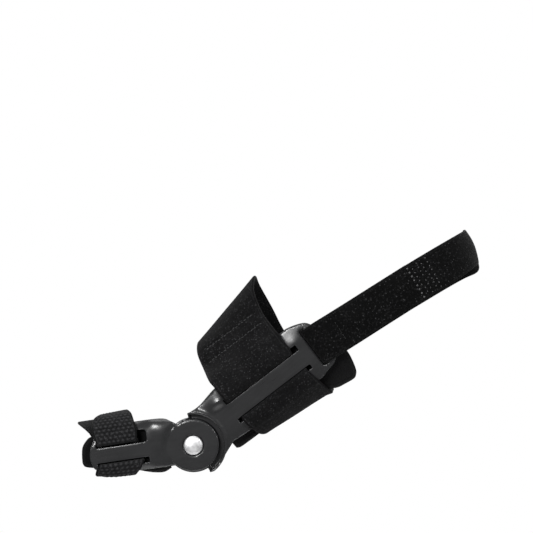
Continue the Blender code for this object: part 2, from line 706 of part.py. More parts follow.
def near_points(x):
    """The band's middle on the near side, place by place, at one place along the plate."""
    half = WRAP_WALL / 2
    proud = half + 2.4 * CLEARANCE
    top = across_table(REAR_UPPER_EDGE, x, REAR_LENGTH, REAR_TOP)
    low = across_table(REAR_LOWER_EDGE, x, REAR_LENGTH, -REAR_DROP)
    pad = across_table(REAR_PAD_LOWER, x, REAR_PAD_LENGTH, -REAR_PAD_DROP, REAR_PAD_FRONT)
    behind = PLATE_WALL + CLEARANCE + half
    upper = REAR_BAR_TOP + half + 1.5 * CLEARANCE
    lower = -mix(REAR_BAR_LOW, LOWER_SLOT_LOW, 0.5)
    pad_foot = rear_pad_outer(x, pad)
    return {
        "above_plate": (rear_outer(x, top) + 1.2 * PLATE_WALL, top + 1.9 * PLATE_WALL),
        "plate_top": (rear_outer(x, top) - 0.6 * proud, top + 0.3 * PLATE_WALL),
        "side_bar_top": (rear_outer(x, mix(UPPER_SLOT_TOP, top, 0.5)) - proud,
                         mix(UPPER_SLOT_TOP, top, 0.5)),
        "slot_mouth_top": (rear_outer(x, UPPER_SLOT_TOP) - 1.15 * proud, UPPER_SLOT_TOP + half),
        "upper_slot_out": (-0.7 * proud, upper + 1.1 * half),
        "upper_slot_in": (behind, upper - 0.1 * half),
        "bar": (behind, mix(-REAR_BAR_LOW, REAR_BAR_TOP, 0.5)),
        "lower_slot_in": (behind, lower),
        "lower_slot_out": (-0.8 * proud, lower),
        "side_bar_low": (rear_outer(x, mix(-LOWER_SLOT_LOW, low, 0.5)) - proud,
                         mix(-LOWER_SLOT_LOW, low, 0.5)),
        "plate_low": (rear_outer(x, low) - proud, low - 0.1 * PLATE_WALL),
        "over_pad": (rear_pad_outer(x, mix(low, pad, 0.8)) - proud - half, mix(low, pad, 0.8) - half),
        "under_pad": (pad_foot + 0.2 * REAR_PAD_WALL, pad - proud - 0.3 * half),
        "sole_near": (pad_foot + 1.5 * REAR_PAD_WALL, pad - proud - half),
    }


def wrap_line(share):
    """One line along the band, at a share of its width from its front edge."""
    edges = {place: (front, rear) for place, front, rear in NEAR_EDGES}
    edges["slot_mouth_top"] = edges["side_bar_top"]
    edges["upper_slot_out"] = edges["upper_slot_in"] = edges["upper_slot"]
    edges["lower_slot_in"] = edges["lower_slot_out"] = edges["lower_slot"]
    order = ("above_plate", "plate_top", "side_bar_top", "slot_mouth_top", "upper_slot_out",
             "upper_slot_in", "bar", "lower_slot_in", "lower_slot_out", "side_bar_low",
             "plate_low", "over_pad", "under_pad", "sole_near")

    def along(front, rear):
        return WRAP_SLOT_FRONT + mix(front, rear, share) * WRAP_WIDTH

    over = [far_point(along(f, r), a, u) for a, u, f, r in FAR_ROWS_OVER]
    near = []
    for place in order:
        x = along(*edges[place])
        near.append((x, *near_points(x)[place]))
    under = [far_point(along(f, r), a, u) for a, u, f, r in FAR_ROWS_UNDER]
    end = [far_point(along(f, r), a, u, BAND_LAYER) for a, u, f, r in FAR_ROWS_END]
    rows = over + near + under + end
    first = len(over) + order.index("side_bar_top")
    last = len(over) + order.index("side_bar_low")
    return run_through(rows, ((first, 3), (last, 1), (len(rows) - 1, 3)))


def build_wrap(frame):
    lines = [wrap_line(k / 5) for k in range(6)]
    return build_strip("midfoot_wrap", lines, WRAP_WALL, VELOUR, frame)


# The toe strap. Its rows start at the end under the tab, run over the hollow and under it to the
# lower slot, behind the bar, out of the upper slot, and up over the first end as the tab.

TOE_ROWS = (
    # place, rear edge, front edge, as shares of the strap's width from the slots' rear end
    ("end_low", 0.33, 1.19),
    ("end_mid", 0.42, 1.31),
    ("end_top", 0.48, 1.41),
    ("shoulder", 0.54, 1.54),
    ("crest", 0.57, 1.65),
    ("far_top", 0.53, 1.56),
    ("far_side", 0.46, 1.42),
    ("far_low", 0.40, 1.35),
    ("sole", 0.39, 1.31),
    ("sole_near", 0.42, 1.28),
    ("bar_low_edge", 0.36, 1.31),
    ("bar_low", 0.22, 1.27),
    ("lower_slot_out", 0.12, 1.195),
    ("lower_slot_in", 0.12, 1.19),
    ("bar", 0.18, 1.18),
    ("upper_slot_in", 0.22, 1.17),
    ("upper_slot_out", 0.22, 1.17),
    ("tab_low", 0.20, 1.21),
    ("tab_mid", 0.21, 1.24),
    ("tab_top", 0.24, 1.24),
    ("tab_shoulder", 0.30, 1.21),
    ("tab_crest", 0.40, 1.10),
    ("tab_end", 0.46, 1.05),
)


def toe_points(x):
    """The toe strap's middle, place by place, at one place along the toe plate."""
    half = TOE_STRAP_WALL / 2
    proud = half + 2.5 * CLEARANCE
    share = (x - TOE_SLOT_REAR) / TOE_SLOT_LENGTH
    crest = mix(TOE_CREST_REAR, TOE_CREST_FRONT, min(share, 1.0))
    sole = -mix(TOE_SOLE_REAR, TOE_SOLE_FRONT, share)
    slot_top = TOE_BAR_TOP + TOE_UPPER_SLOT
    slot_low = -TOE_BAR_LOW - TOE_LOWER_SLOT
    low = across_table(TOE_LOWER_EDGE, x, TOE_LENGTH, -TOE_DROP)
    outside = TOE_STRAP_WALL + 1.5 * CLEARANCE
    behind = PLATE_WALL + CLEARANCE + half
    upper = mix(TOE_BAR_TOP, slot_top, 0.31)
    lower = -TOE_BAR_LOW - TOE_LOWER_SLOT / 2
    side, middle = TOE_OUTER_SIDE, mix(sole, crest, 0.5)

    def over_flank(z, lift=0.0):
        return flank(z, TOE_BAR_LOW, TOE_BAR_TOP, TOE_FLANK_RADIUS) - proud - lift

    return {
        "end_low": (over_flank(slot_top) - 0.1 * half, slot_top - 0.5 * half),
        "end_mid": (over_flank(mix(slot_top, TOE_TOP, 0.5)), mix(slot_top, TOE_TOP, 0.5)),
        "end_top": (over_flank(TOE_TOP) - 0.2 * half, min(TOE_TOP, crest - half)),
        "shoulder": (0.27 * side, mix(TOE_TOP, crest, 0.62)),
        "crest": (0.47 * side, crest),
        "far_top": (0.74 * side, crest - 0.08 * side),
        "far_side": (side, middle + 0.08 * side),
        "far_low": (0.93 * side, mix(sole, middle, 0.45)),
        "sole": (0.72 * side, sole + 0.02 * side),
        "sole_near": (0.38 * side, sole),
        "bar_low_edge": (over_flank(low) + 1.4 * proud, min(sole + half, low - proud)),
        "bar_low": (over_flank(mix(slot_low, low, 0.5)), mix(slot_low, low, 0.6)),
        "lower_slot_out": (-proud, lower),
        "lower_slot_in": (behind, lower),
        "bar": (behind, (TOE_BAR_TOP - TOE_BAR_LOW) / 2),
        "upper_slot_in": (behind, upper),
        "upper_slot_out": (-1.5 * proud, upper),
        "tab_low": (over_flank(slot_top, outside) - 0.1 * half, slot_top - 1.2 * half),
        "tab_mid": (over_flank(mix(slot_top, TOE_TOP, 0.5), outside), mix(slot_top, TOE_TOP, 0.5)),
        "tab_top": (over_flank(TOE_TOP, outside) - 0.2 * half,
                    min(TOE_TOP, crest - half) + 0.4 * half),
        "tab_shoulder": (0.27 * side - 0.6 * outside, mix(TOE_TOP, crest, 0.62) + outside),
        "tab_crest": (0.47 * side, crest + outside),
        "tab_end": (0.60 * side, crest + outside - 0.02 * side),
    }


def toe_line(share):
    rows = []
    for place, rear, front in TOE_ROWS:
        x = TOE_SLOT_REAR + mix(rear, front, share) * TOE_STRAP_WIDTH
        depth, up = toe_points(x)[place]
        rows.append((-x, depth, up))
    places = [row[0] for row in TOE_ROWS]
    first, last = places.index("bar_low"), places.index("upper_slot_out")
    return run_through(rows, ((first, 3), (last, 1), (len(rows) - 1, 3)))


def build_toe_strap(frame):
    lines = [toe_line(k / 4) for k in range(5)]
    return build_strip("toe_strap", lines, TOE_STRAP_WALL, HOOK_TAPE, frame, -1.0)


# The heel strap, in the rear plate's frame. Its rows start at the tail's end inside the near run,
# come forward through the cross slot, and go back outside, round the loop's back and onto the band.

HEEL_CURVE = (
    # reach from the cross slot, half width of the loop, turn of the strap's width, how far the
    # middle of its width bulges back, and how far its upper edge is drawn down
    (0.23, 1.21, 122.5, 0.00, 0.00),
    (0.42, 1.10, 122.0, 0.00, 0.00),
    (0.62, 1.00, 121.0, 0.00, 0.00),
    (0.79, 0.87, 119.0, 0.01, 0.02),
    (0.905, 0.62, 115.0, 0.03, 0.05),
    (0.977, 0.29, 112.8, 0.06, 0.08),
    (0.99, 0.00, 112.2, 0.07, 0.09),
)


def strap_point(reach, depth, turn, share, bulge=0.0, drawn=0.0, lower=0.0):
    """A point of the heel strap: reach along its lean, depth, and share of its width."""
    lean = math.radians(HEEL_STRAP_LEAN - REAR_LEAN)
    turn = math.radians(turn - REAR_LEAN)
    width = (share * (1.0 - drawn) - 0.5) * HEEL_STRAP_WIDTH
    reach += bulge * HEEL_STRAP_WIDTH * (1.0 - (2.0 * share - 1.0) ** 2)
    return (HEEL_SLOT_AT + reach * math.cos(lean) + width * math.cos(turn) + lower * math.sin(lean),
            depth,
            HEEL_SLOT_MIDDLE + reach * math.sin(lean) + width * math.sin(turn)
            - lower * math.cos(lean))


def band_outside(x, z):
    """Depth of the band's outer face on the far side, and how it slopes across the plate."""
    rows = [far_point(x, a, u) for a, u, f, r in FAR_ROWS_UNDER[2:]]
    rows += [far_point(x, a, u, BAND_LAYER) for a, u, f, r in FAR_ROWS_END]
    line = curve_through([row[1:] for row in rows], 4)
    depth = np.interp(z, line[:, 1], line[:, 0])
    ahead = np.interp(z + MM, line[:, 1], line[:, 0])
    return float(depth), float((ahead - depth) / MM)


def heel_line(share):
    half = HEEL_STRAP_WALL / 2
    behind = PLATE_WALL + CLEARANCE + half
    middle = -FACE_Y

    def rim(reach, depth, turn=90.0 + REAR_LEAN):
        x, _, z = strap_point(reach, 0.0, turn, share)
        return (x, rear_outer(min(x, REAR_LENGTH), z) + depth, z)

    near = [(reach * HEEL_REACH, middle - part * HEEL_HALF_WIDTH, turn, share, bulge, drawn)
            for reach, part, turn, bulge, drawn in HEEL_CURVE]
    layer = HEEL_STRAP_WALL + 2 * CLEARANCE
    tail = [strap_point(reach, depth + layer, *rest)
            for reach, depth, *rest in near if reach < HEEL_TAIL]
    outer = [strap_point(*point) for point in near]
    far = [strap_point(reach, 2 * middle - depth, *rest, FAR_SIDE_LOWERING)
           for reach, depth, *rest in near[-2::-1] if reach > 0.4 * HEEL_REACH]
    on_band = []
    for part in (0.10, 0.35, 0.60, 0.80, 1.0):
        x, _, z = strap_point(-part * HEEL_END_OVERLAP, 0.0, 122.5, share,
                              lower=FAR_SIDE_LOWERING)
        depth, slope = band_outside(x, z)
        lift = (WRAP_WALL / 2 + 3.2 * CLEARANCE + half) * math.hypot(1.0, slope)
        on_band.append((x, depth + lift, z))
    loose = strap_point(0.12 * HEEL_REACH, on_band[0][1] - half, 122.2, share,
                        lower=FAR_SIDE_LOWERING)
    rear = REAR_LENGTH - HEEL_SLOT_AT
    rows = tail[::-1] + [
        rim(rear + 2 * half, behind), rim(0.55 * rear, behind), rim(0.0, behind),
        rim(0.0, -half - 2 * CLEARANCE), rim(0.55 * rear, -half - 1.6 * CLEARANCE),
        rim(rear + 2 * half, -half - 1.5 * CLEARANCE, 124.5),
    ] + outer + far + [loose] + on_band
    inside = len(tail) + 1
    return run_through(rows, ((inside, 3), (inside + 3, 1), (len(rows) - 1, 3)))


def build_heel_strap(frame):
    lines = [heel_line(k / 3) for k in range(4)]
    return build_strip("heel_strap", lines, HEEL_STRAP_WALL, VELOUR, frame)


def build():
    clear_scene()
    rear = plate_frame("rear_frame", REAR_LEAN)
    toe = plate_frame("toe_frame", TOE_LEAN)
    build_rear_plate(rear)
    build_rivet(rear)
    build_rear_pad(rear)
    build_wrap(rear)
    build_heel_strap(rear)
    build_toe_plate(toe)
    build_toe_pad(toe)
    build_toe_strap(toe)


build()
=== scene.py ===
"""The looks of a hinged toe splint in its worn shape.

The file follows the splint as it is put together: the moulded plates, the rivet, the linings, the
midfoot band, the heel strap, the toe strap, and the studio at the end. Metres, +Z up.
"""

import math

import bmesh
import bpy
import numpy as np
from mathutils import Matrix, Vector


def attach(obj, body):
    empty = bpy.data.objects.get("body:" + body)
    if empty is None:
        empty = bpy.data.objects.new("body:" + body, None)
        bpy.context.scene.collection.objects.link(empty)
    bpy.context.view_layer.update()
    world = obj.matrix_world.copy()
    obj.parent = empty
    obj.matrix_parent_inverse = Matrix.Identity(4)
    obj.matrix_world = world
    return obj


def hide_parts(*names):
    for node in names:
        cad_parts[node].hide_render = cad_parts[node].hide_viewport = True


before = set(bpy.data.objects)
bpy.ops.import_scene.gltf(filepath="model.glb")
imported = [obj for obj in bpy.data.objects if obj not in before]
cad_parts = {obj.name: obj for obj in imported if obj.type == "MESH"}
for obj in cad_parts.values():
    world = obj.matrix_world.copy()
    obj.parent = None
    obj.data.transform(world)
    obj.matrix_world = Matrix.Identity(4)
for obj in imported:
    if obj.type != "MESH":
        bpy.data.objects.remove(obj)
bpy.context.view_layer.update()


# The rear plate is the long half of the splint: injection-moulded charcoal plastic with a satin,
# finely grained face. A flat bar runs between its two long slots, a cross slot takes the heel
# strap, its flanks curve inwards, and its front end is a shallow pocket that the disc turns in.

MM = 0.001
HINGE = Vector((-40.0, -38.5, -46.9)) * MM
REAR_LEAN = 37.5
PLATE_WALL = 2.4 * MM
CLEARANCE = 0.3 * MM
MOULD_PITCH = 0.9 * MM
GRID_START = 0.37
MOULD_ROUND = 0.6 * MM
SLOT_ROUND = 0.2 * MM
MERGE = 0.002 * MM
DISC_RADIUS = 14.5 * MM
POCKET_RADIUS = 17.3 * MM
POCKET_WALL = 0.3 * MM
LAP_RADIUS = 15.5 * MM
LAP_FRONT = PLATE_WALL + CLEARANCE
LAP_BACK = LAP_FRONT + 2.0 * MM
BORE_RADIUS = 2.9 * MM
SHOULDER_LIP = 1.5 * MM
SHOULDER_TOP = 63.5
SHOULDER_LOW = -95.5
HORN_TURN = 7
TONGUE_TURN = 42
REAR_LENGTH = 95.2 * MM
REAR_TOP = 20.1 * MM
REAR_DROP = 14.0 * MM
REAR_BAR = (-3.5 * MM, 6.4 * MM)
REAR_FLANK_RADIUS = 18.0 * MM
WRAP_SLOT = (28.6 * MM, 79.6 * MM)
UPPER_SLOT_TOP = 10.0 * MM
LOWER_SLOT_LOW = -6.3 * MM
CROSS_SLOT_AT = 87.1 * MM
CROSS_SLOT_MIDDLE = 2.7 * MM
CROSS_SLOT_SIZE = (2.8 * MM, 23.8 * MM)
FLANK_BEND = {"least": 0.25, "rise": 6.0 * MM, "fall": 8.0 * MM, "rear_inset": 2.0 * MM}
SWELLS = (
    # place, height, spread
    ((26.0 * MM, 9.9 * MM), 2.3 * MM, 6.2 * MM),
    ((80.6 * MM, 10.6 * MM), 0.5 * MM, 4.6 * MM),
)
SWELL_RISE = 6.0 * MM
RING_GROOVE = {"depth": 1.6 * MM, "inside_disc": 0.7 * MM, "run": 1.2 * MM}
RING_LIP = {"height": 0.65 * MM, "crest": 1.3 * MM, "spread": 1.2 * MM}
SLOT_CORNER = 0.8 * MM
REAR_UPPER_EDGE = (
    # along, up
    (0.175, 0.78), (0.309, 0.90), (0.550, 0.97), (0.803, 1.00), (0.871, 0.98),
    (0.949, 0.85), (0.981, 0.69), (1.000, 0.42), (1.000, 0.10),
)
REAR_LOWER_EDGE = (
    # along, down
    (0.995, 0.40), (0.987, 0.66), (0.953, 0.82), (0.891, 0.92), (0.824, 1.00),
    (0.560, 0.97), (0.319, 0.91), (0.206, 0.85),
)


def mix(a, b, share):
    return a + (b - a) * share


def ease(share):
    share = np.clip(share, 0.0, 1.0)
    return share * share * (3.0 - 2.0 * share)


def arc(radius, start, end, steps):
    """Points on an arc about the hinge, its angles in degrees from the plate's own axis."""
    turns = np.radians(np.linspace(start, end, steps + 1))
    return [(radius * math.cos(turn), radius * math.sin(turn)) for turn in turns]


def curve_through(points, steps):
    """A smooth line through all the points, with so many pieces between each two."""
    points = np.array(points, float)
    padded = np.vstack([2 * points[0] - points[1], points, 2 * points[-1] - points[-2]])
    line = []
    for a, b, c, d in zip(padded, padded[1:], padded[2:], padded[3:]):
        for t in np.arange(steps) / steps:
            line.append(0.5 * (2 * b + (c - a) * t + (2 * a - 5 * b + 4 * c - d) * t * t
                               + (3 * b - a - 3 * c + d) * t ** 3))
    return np.array([*line, points[-1]])


def edge_points(table, length, height, start=0.0):
    return [(start + along * length, across * height) for along, across in table]


def rounded_loop(corners, radius, steps=6):
    """A closed outline with each of its corners rounded."""
    corners = np.array(corners, float)
    loop = []
    for k, corner in enumerate(corners):
        before = corners[k - 1] - corner
        after = corners[(k + 1) % len(corners)] - corner
        reach = min(radius, 0.48 * np.linalg.norm(before), 0.48 * np.linalg.norm(after))
        start = corner + before / np.linalg.norm(before) * reach
        end = corner + after / np.linalg.norm(after) * reach
        for t in np.arange(steps + 1) / steps:
            loop.append(tuple((1 - t) ** 2 * start + 2 * t * (1 - t) * corner + t * t * end))
    return loop


def hinge_reach(spots):
    """How far each spot lies from the hinge."""
    return np.linalg.norm(spots, axis=1)


def rim_distance(spots, rims):
    """How far each spot of a flat region lies from the nearest of its closed rims."""
    nearest = np.full(len(spots), np.inf)
    for rim in rims:
        rim = np.array(rim, float)
        for a, b in zip(rim, np.roll(rim, -1, axis=0)):
            along = b - a
            share = np.clip((spots - a) @ along / max(along @ along, 1e-16), 0.0, 1.0)
            away = spots - a - share[:, None] * along
            nearest = np.minimum(nearest, np.linalg.norm(away, axis=1))
    return nearest


def rounding(distance, radius):
    """How far a rounded edge falls away at a distance inside its rim."""
    short = 1.0 - np.clip(distance / radius, 0.0, 1.0)
    return radius * (1.0 - np.sqrt(1.0 - short ** 2))


def fill(bm, outline, holes=()):
    edges = []
    for loop in (outline, *holes):
        ring = [bm.verts.new((x, 0.0, z)) for x, z in loop]
        edges += [bm.edges.new((ring[k - 1], ring[k])) for k in range(len(ring))]
    bmesh.ops.triangle_fill(bm, use_beauty=True, use_dissolve=False, edges=edges,
                            normal=(0.0, -1.0, 0.0))


def moulding(regions, rims, outer, inner, round_off, pitch,
             rings=(0.1, 0.22, 0.3, 0.38), slots=()):
    """A closed shell over flat regions, between two curved faces, with rounded rims and slots."""
    bm = bmesh.new()
    for outline, holes in regions:
        fill(bm, outline, holes)
    bmesh.ops.remove_doubles(bm, verts=bm.verts[:], dist=MERGE)
    for part in rings:
        bmesh.ops.inset_region(bm, faces=bm.faces[:], thickness=part * round_off,
                               use_boundary=True, use_even_offset=True)
    corners = np.array([v.co for v in bm.verts])
    for axis in (0, 2):
        low, high = corners[:, axis].min(), corners[:, axis].max()
        for place in np.arange(low + GRID_START * pitch, high, pitch):
            point, normal = [0.0] * 3, [0.0] * 3
            point[axis], normal[axis] = place, 1.0
            bmesh.ops.bisect_plane(bm, geom=[*bm.faces, *bm.edges, *bm.verts], dist=MERGE,
                                   plane_co=point, plane_no=normal)
    bmesh.ops.triangulate(bm, faces=bm.faces[:], quad_method="BEAUTY", ngon_method="BEAUTY")
    edge = bm.verts.layers.float.new("edge")
    grown = bmesh.ops.extrude_face_region(bm, geom=bm.faces[:])
    back = {item for item in grown["geom"] if isinstance(item, bmesh.types.BMVert)}
    verts = list(bm.verts)
    spots = np.array([(v.co.x, v.co.z) for v in verts])
    distance = rim_distance(spots, rims)
    fall = rounding(distance, round_off)
    if slots:
        beside = rim_distance(spots, slots)
        fall = np.maximum(fall, rounding(beside, SLOT_ROUND))
        distance = np.minimum(distance, beside)
    depths = (outer(spots, distance) + fall, inner(spots, distance) - fall)
    for vert, near, front, behind in zip(verts, distance, *depths):
        vert.co.y = behind if vert in back else front
        vert[edge] = near / MM
    return bm


def leaning(lean):
    """The place of a plate's own axes: X along it, Y inwards from its face, Z up across it."""
    return Matrix.Translation(HINGE) @ Matrix.Rotation(-math.radians(lean), 4, "Y")


REAR = (leaning(REAR_LEAN), "rear_body")


def finished(name, bm, place, body, material, slot, node=None, sharp=45.0):
    """Puts a finished mesh in the scene, on its body, in the place of a solid or beside it."""
    bmesh.ops.transform(bm, matrix=place, verts=bm.verts[:])
    bmesh.ops.recalc_face_normals(bm, faces=bm.faces[:])
    if bm.calc_volume(signed=True) < 0:
        bmesh.ops.reverse_faces(bm, faces=bm.faces[:])
    mesh = bpy.data.meshes.new(name)
    bm.to_mesh(mesh)
    bm.free()
    mesh.shade_smooth()
    mesh.set_sharp_from_angle(angle=math.radians(sharp))
    mesh.materials.append(material)
    piece = bpy.data.objects.new(name, mesh)
    bpy.context.collection.objects.link(piece)
    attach(piece, body)
    if node:
        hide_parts(node)
    return piece


class Wire:
    """A socket of a material's nodes, for sums written as plain expressions."""

    def __init__(self, tree, socket=None):
        self.tree, self.socket = tree, socket

    def node(self, kind, settings=None, inputs=None, output=0):
        made = self.tree.nodes.new("ShaderNode" + kind)
        for name, value in (settings or {}).items():
            setattr(made, name, value)
        for name, value in (inputs or {}).items():
            if isinstance(value, Wire):
                self.tree.links.new(value.socket, made.inputs[name])
            else:
                made.inputs[name].default_value = value
        return Wire(self.tree, made.outputs[output])

    def noise(self, scale, detail, **settings):
        return self.node("TexNoise", None, {"Vector": self, "Scale": scale, "Detail": detail,
                                            **settings})

    def cells(self, scale, output=0):
        return self.node("TexVoronoi", {"feature": "F1"}, {"Vector": self, "Scale": scale}, output)

    def attribute(self, name):
        return self.node("Attribute", {"attribute_name": name}, output=2)

    def sum(self, operation, *values):
        return self.node("Math", {"operation": operation}, dict(enumerate(values)))

    def __add__(self, other):
        return self.sum("ADD", self, other)

    def __sub__(self, other):
        return self.sum("SUBTRACT", self, other)

    def __rsub__(self, other):
        return self.sum("SUBTRACT", other, self)

    def __mul__(self, other):
        return self.sum("MULTIPLY", self, other)

    __radd__, __rmul__ = __add__, __mul__

    def ramp(self, low, high, to_low=0.0, to_high=1.0):
        """A smooth rise from one value to another as this wire goes from low to high."""
        return self.node("MapRange", {"interpolation_type": "SMOOTHSTEP"},
                         {"Value": self, "From Min": low, "From Max": high,
                          "To Min": to_low, "To Max": to_high})

    def tint(self, dark, light):
        """A colour between two, at this wire's share."""
        return self.node("Mix", {"data_type": "RGBA"}, {0: self, 6: (*dark, 1), 7: (*light, 1)}, 2)

    def over(self, below, colour):
        """A colour laid over another colour wire where this wire is 1."""
        return self.node("Mix", {"data_type": "RGBA"}, {0: self, 6: below, 7: (*colour, 1)}, 2)

    def bump(self, depth, below=None):
        inputs = {"Height": self, "Distance": depth, "Strength": 1.0}
        if below:
            inputs["Normal"] = below
        return self.node("Bump", None, inputs)


def new_material(name, **constants):
    """A material with its constant sockets set, the wire of its place, and its shader."""
    material = bpy.data.materials.new(name)
    material.use_nodes = True
    shader = material.node_tree.nodes["Principled BSDF"]
    for socket, value in constants.items():
        shader.inputs[socket.replace("_", " ")].default_value = value
    return material, Wire(material.node_tree).node("TexCoord", output=3), shader


def feed(wire, shader, **sockets):
    for name, source in sockets.items():
        wire.tree.links.new(source.socket, shader.inputs[name.replace("_", " ")])


def moulded_plastic(name, lean):
    """Satin charcoal plastic: fine spark grain, faint flow streaks along the plate, worn rims."""
    material, place, shader = new_material(name, Specular_IOR_Level=0.36)
    turned = place.node("Mapping", None, {"Vector": place, "Rotation": (0, math.radians(lean), 0)})
    drawn = place.node("Mapping", None, {"Vector": turned, "Scale": (0.12, 1.0, 1.0)})
    streaks = drawn.noise(900.0, 3.0)
    clouds = place.noise(55.0, 4.0)
    grain = place.noise(2600.0, 2.0)
    worn = (1 - place.attribute("edge").ramp(0.05, 0.55)) * clouds.ramp(0.35, 0.65, 0.2, 0.8)
    base = (clouds * 0.6 + streaks * 0.4).tint((0.0075, 0.0076, 0.0079), (0.0138, 0.0140, 0.0147))
    feed(place, shader, Base_Color=(worn * 0.35).over(base, (0.045, 0.046, 0.048)),
         Roughness=0.19 + clouds * 0.06 + streaks * 0.06,
         Normal=grain.bump(0.006 * MM, streaks.bump(0.008 * MM)))
    return material


def flank(height, bar, radius):
    """How far a plate curves inwards at a height: it is flat across its bar."""
    past = np.maximum(np.maximum(height - bar[1], bar[0] - height), 0.0)
    return past ** 2 / (2 * radius)


def rear_bend(along):
    """Share of the flanks' full curve: full under the band, little at the hinge and rear head."""
    rise = ease((along - WRAP_SLOT[0]) / FLANK_BEND["rise"])
    fall = ease((WRAP_SLOT[1] - FLANK_BEND["rear_inset"] - along) / FLANK_BEND["fall"])
    return mix(FLANK_BEND["least"], 1.0, np.minimum(rise, fall))


def swelling(spots, place, height, spread):
    """A low round swelling of a plate's face."""
    return -height * np.exp(-np.sum(((spots - place) / spread) ** 2, axis=1))


def rear_face(spots):
    curve = rear_bend(spots[:, 0]) * flank(spots[:, 1], REAR_BAR, REAR_FLANK_RADIUS)
    rise = ease((spots[:, 1] - REAR_BAR[1] + MM) / SWELL_RISE)
    return curve + rise * sum(swelling(spots, *swell) for swell in SWELLS)


def rear_outer(spots, distance):
    reach = hinge_reach(spots)
    lip = rounding(reach - POCKET_RADIUS, MOULD_ROUND)
    past_crest = reach - POCKET_RADIUS - RING_LIP["crest"]
    lip -= RING_LIP["height"] * np.exp(-(past_crest / RING_LIP["spread"]) ** 2)
    into_groove = reach - DISC_RADIUS + RING_GROOVE["inside_disc"]
    groove = RING_GROOVE["depth"] * ease(into_groove / RING_GROOVE["run"])
    floor = LAP_FRONT + groove * ease((distance - MOULD_ROUND) / (2 * MOULD_ROUND))
    return np.where(reach < POCKET_RADIUS - POCKET_WALL / 2, floor, rear_face(spots) + lip)


def rear_inner(spots, distance):
    reach = hinge_reach(spots)
    thinned = rear_face(spots) + PLATE_WALL
    fade = ease((reach - POCKET_RADIUS) / (DISC_RADIUS / 2))
    return np.where(reach < POCKET_RADIUS - POCKET_WALL / 2, LAP_BACK,
                    mix(np.maximum(LAP_BACK, thinned), thinned, fade))


def slot_loop(low, high):
    corners = (low, (high[0], low[1]), high, (low[0], high[1]))
    return rounded_loop(corners, SLOT_CORNER)


def rear_rim():
    """The rear plate's outline outside its pocket, from the shoulder's top round the rear end."""
    lip, tip = POCKET_RADIUS + SHOULDER_LIP, POCKET_RADIUS + SHOULDER_LIP / 2
    horn = arc(tip, SHOULDER_TOP, SHOULDER_TOP, 0)
    horn += arc(lip, SHOULDER_TOP - HORN_TURN, SHOULDER_TOP - HORN_TURN, 0)
    upper = edge_points(REAR_UPPER_EDGE, REAR_LENGTH, REAR_TOP)
    lower = edge_points(REAR_LOWER_EDGE, REAR_LENGTH, -REAR_DROP)
    tongue = arc(lip, SHOULDER_LOW + TONGUE_TURN, SHOULDER_LOW + HORN_TURN, 12)
    around = [tuple(point) for point in curve_through([*horn, *upper, *lower], 8)]
    return around + tongue + arc(tip, SHOULDER_LOW, SHOULDER_LOW, 0)


rear_slots = (
    slot_loop((WRAP_SLOT[0], REAR_BAR[1]), (WRAP_SLOT[1], UPPER_SLOT_TOP)),
    slot_loop((WRAP_SLOT[0], LOWER_SLOT_LOW), (WRAP_SLOT[1], REAR_BAR[0])),
    slot_loop(*[(CROSS_SLOT_AT + turn * CROSS_SLOT_SIZE[0] / 2,
                 CROSS_SLOT_MIDDLE + turn * CROSS_SLOT_SIZE[1] / 2) for turn in (-1, 1)]),
)
pocket_steps = (MOULD_ROUND * 0.5, MOULD_ROUND * 0.15, 0.0, -POCKET_WALL, -2.3 * MM, -2.6 * MM,
                -2.9 * MM, -3.2 * MM, -3.5 * MM)
pocket = [arc(POCKET_RADIUS + out, SHOULDER_LOW, SHOULDER_TOP, 60) for out in pocket_steps]
lap_edge = arc(LAP_RADIUS, SHOULDER_TOP, SHOULDER_LOW + 360, 70)
rear_bore = arc(BORE_RADIUS, 0, 360 - 360 / 40, 39)
rear_around = rear_rim() + pocket[2][:1] + lap_edge[::-1] + pocket[2][-1:]
rear_regions = [(rear_rim() + pocket[0], rear_slots)]
rear_regions += [(outside + inside[::-1], ()) for outside, inside in zip(pocket, pocket[1:])]
rear_regions += [(pocket[-1] + lap_edge, (rear_bore,))]
rear_mesh = moulding(rear_regions, (rear_around, rear_slots[2], rear_bore), rear_outer, rear_inner,
                     MOULD_ROUND, MOULD_PITCH, slots=rear_slots[:2])
finished("rear_plate_moulding", rear_mesh, *REAR, moulded_plastic("rear_moulding", REAR_LEAN),
         "plastic", "rear_plate")


# The toe plate is the short half, of the same plastic. Its round disc turns in the rear plate's
# pocket, a neck joins it to a flat bar between two slots, and its front end is rounded off.

TOE_LEAN = 8.3
TOE_LENGTH = 58.3 * MM
TOE_TOP = 17.6 * MM
TOE_DROP = 9.8 * MM
TOE_BAR = (-2.5 * MM, 5.8 * MM)
TOE_FLANK_RADIUS = 13.0 * MM
TOE_SLOT = (25.2 * MM, 54.8 * MM)
TOE_UPPER_SLOT_TOP = 12.9 * MM
TOE_LOWER_SLOT_LOW = -5.9 * MM
NECK_TOP = 60.0
NECK_STEP = 0.35 * MM
RECESS_RADIUS = 6.0 * MM
RECESS_DEPTH = 0.8 * MM
RECESS_ROUND = 0.4 * MM
TOE = (leaning(TOE_LEAN), "toe_body")
TOE_BEND = {"least": 0.4, "from_above": DISC_RADIUS, "from_below": 20.0 * MM, "to": 32.0 * MM}
KNUCKLE_SWELL = ((-20.8 * MM, 17.6 * MM), 2.9 * MM, 7.2 * MM)
NECK_RIDGE = {"reach": 18.0 * MM, "height": 0.8 * MM, "to_disc": 1.8 * MM, "to_toe": 5.0 * MM,
              "low": -5.0 * MM, "rise": 8.0 * MM}
TOE_SLOT_TAPER = {"middle": 1.2 * MM, "top": 4.4 * MM, "low": 0.6 * MM}
TOE_SLOT_CORNER = 2.0 * MM
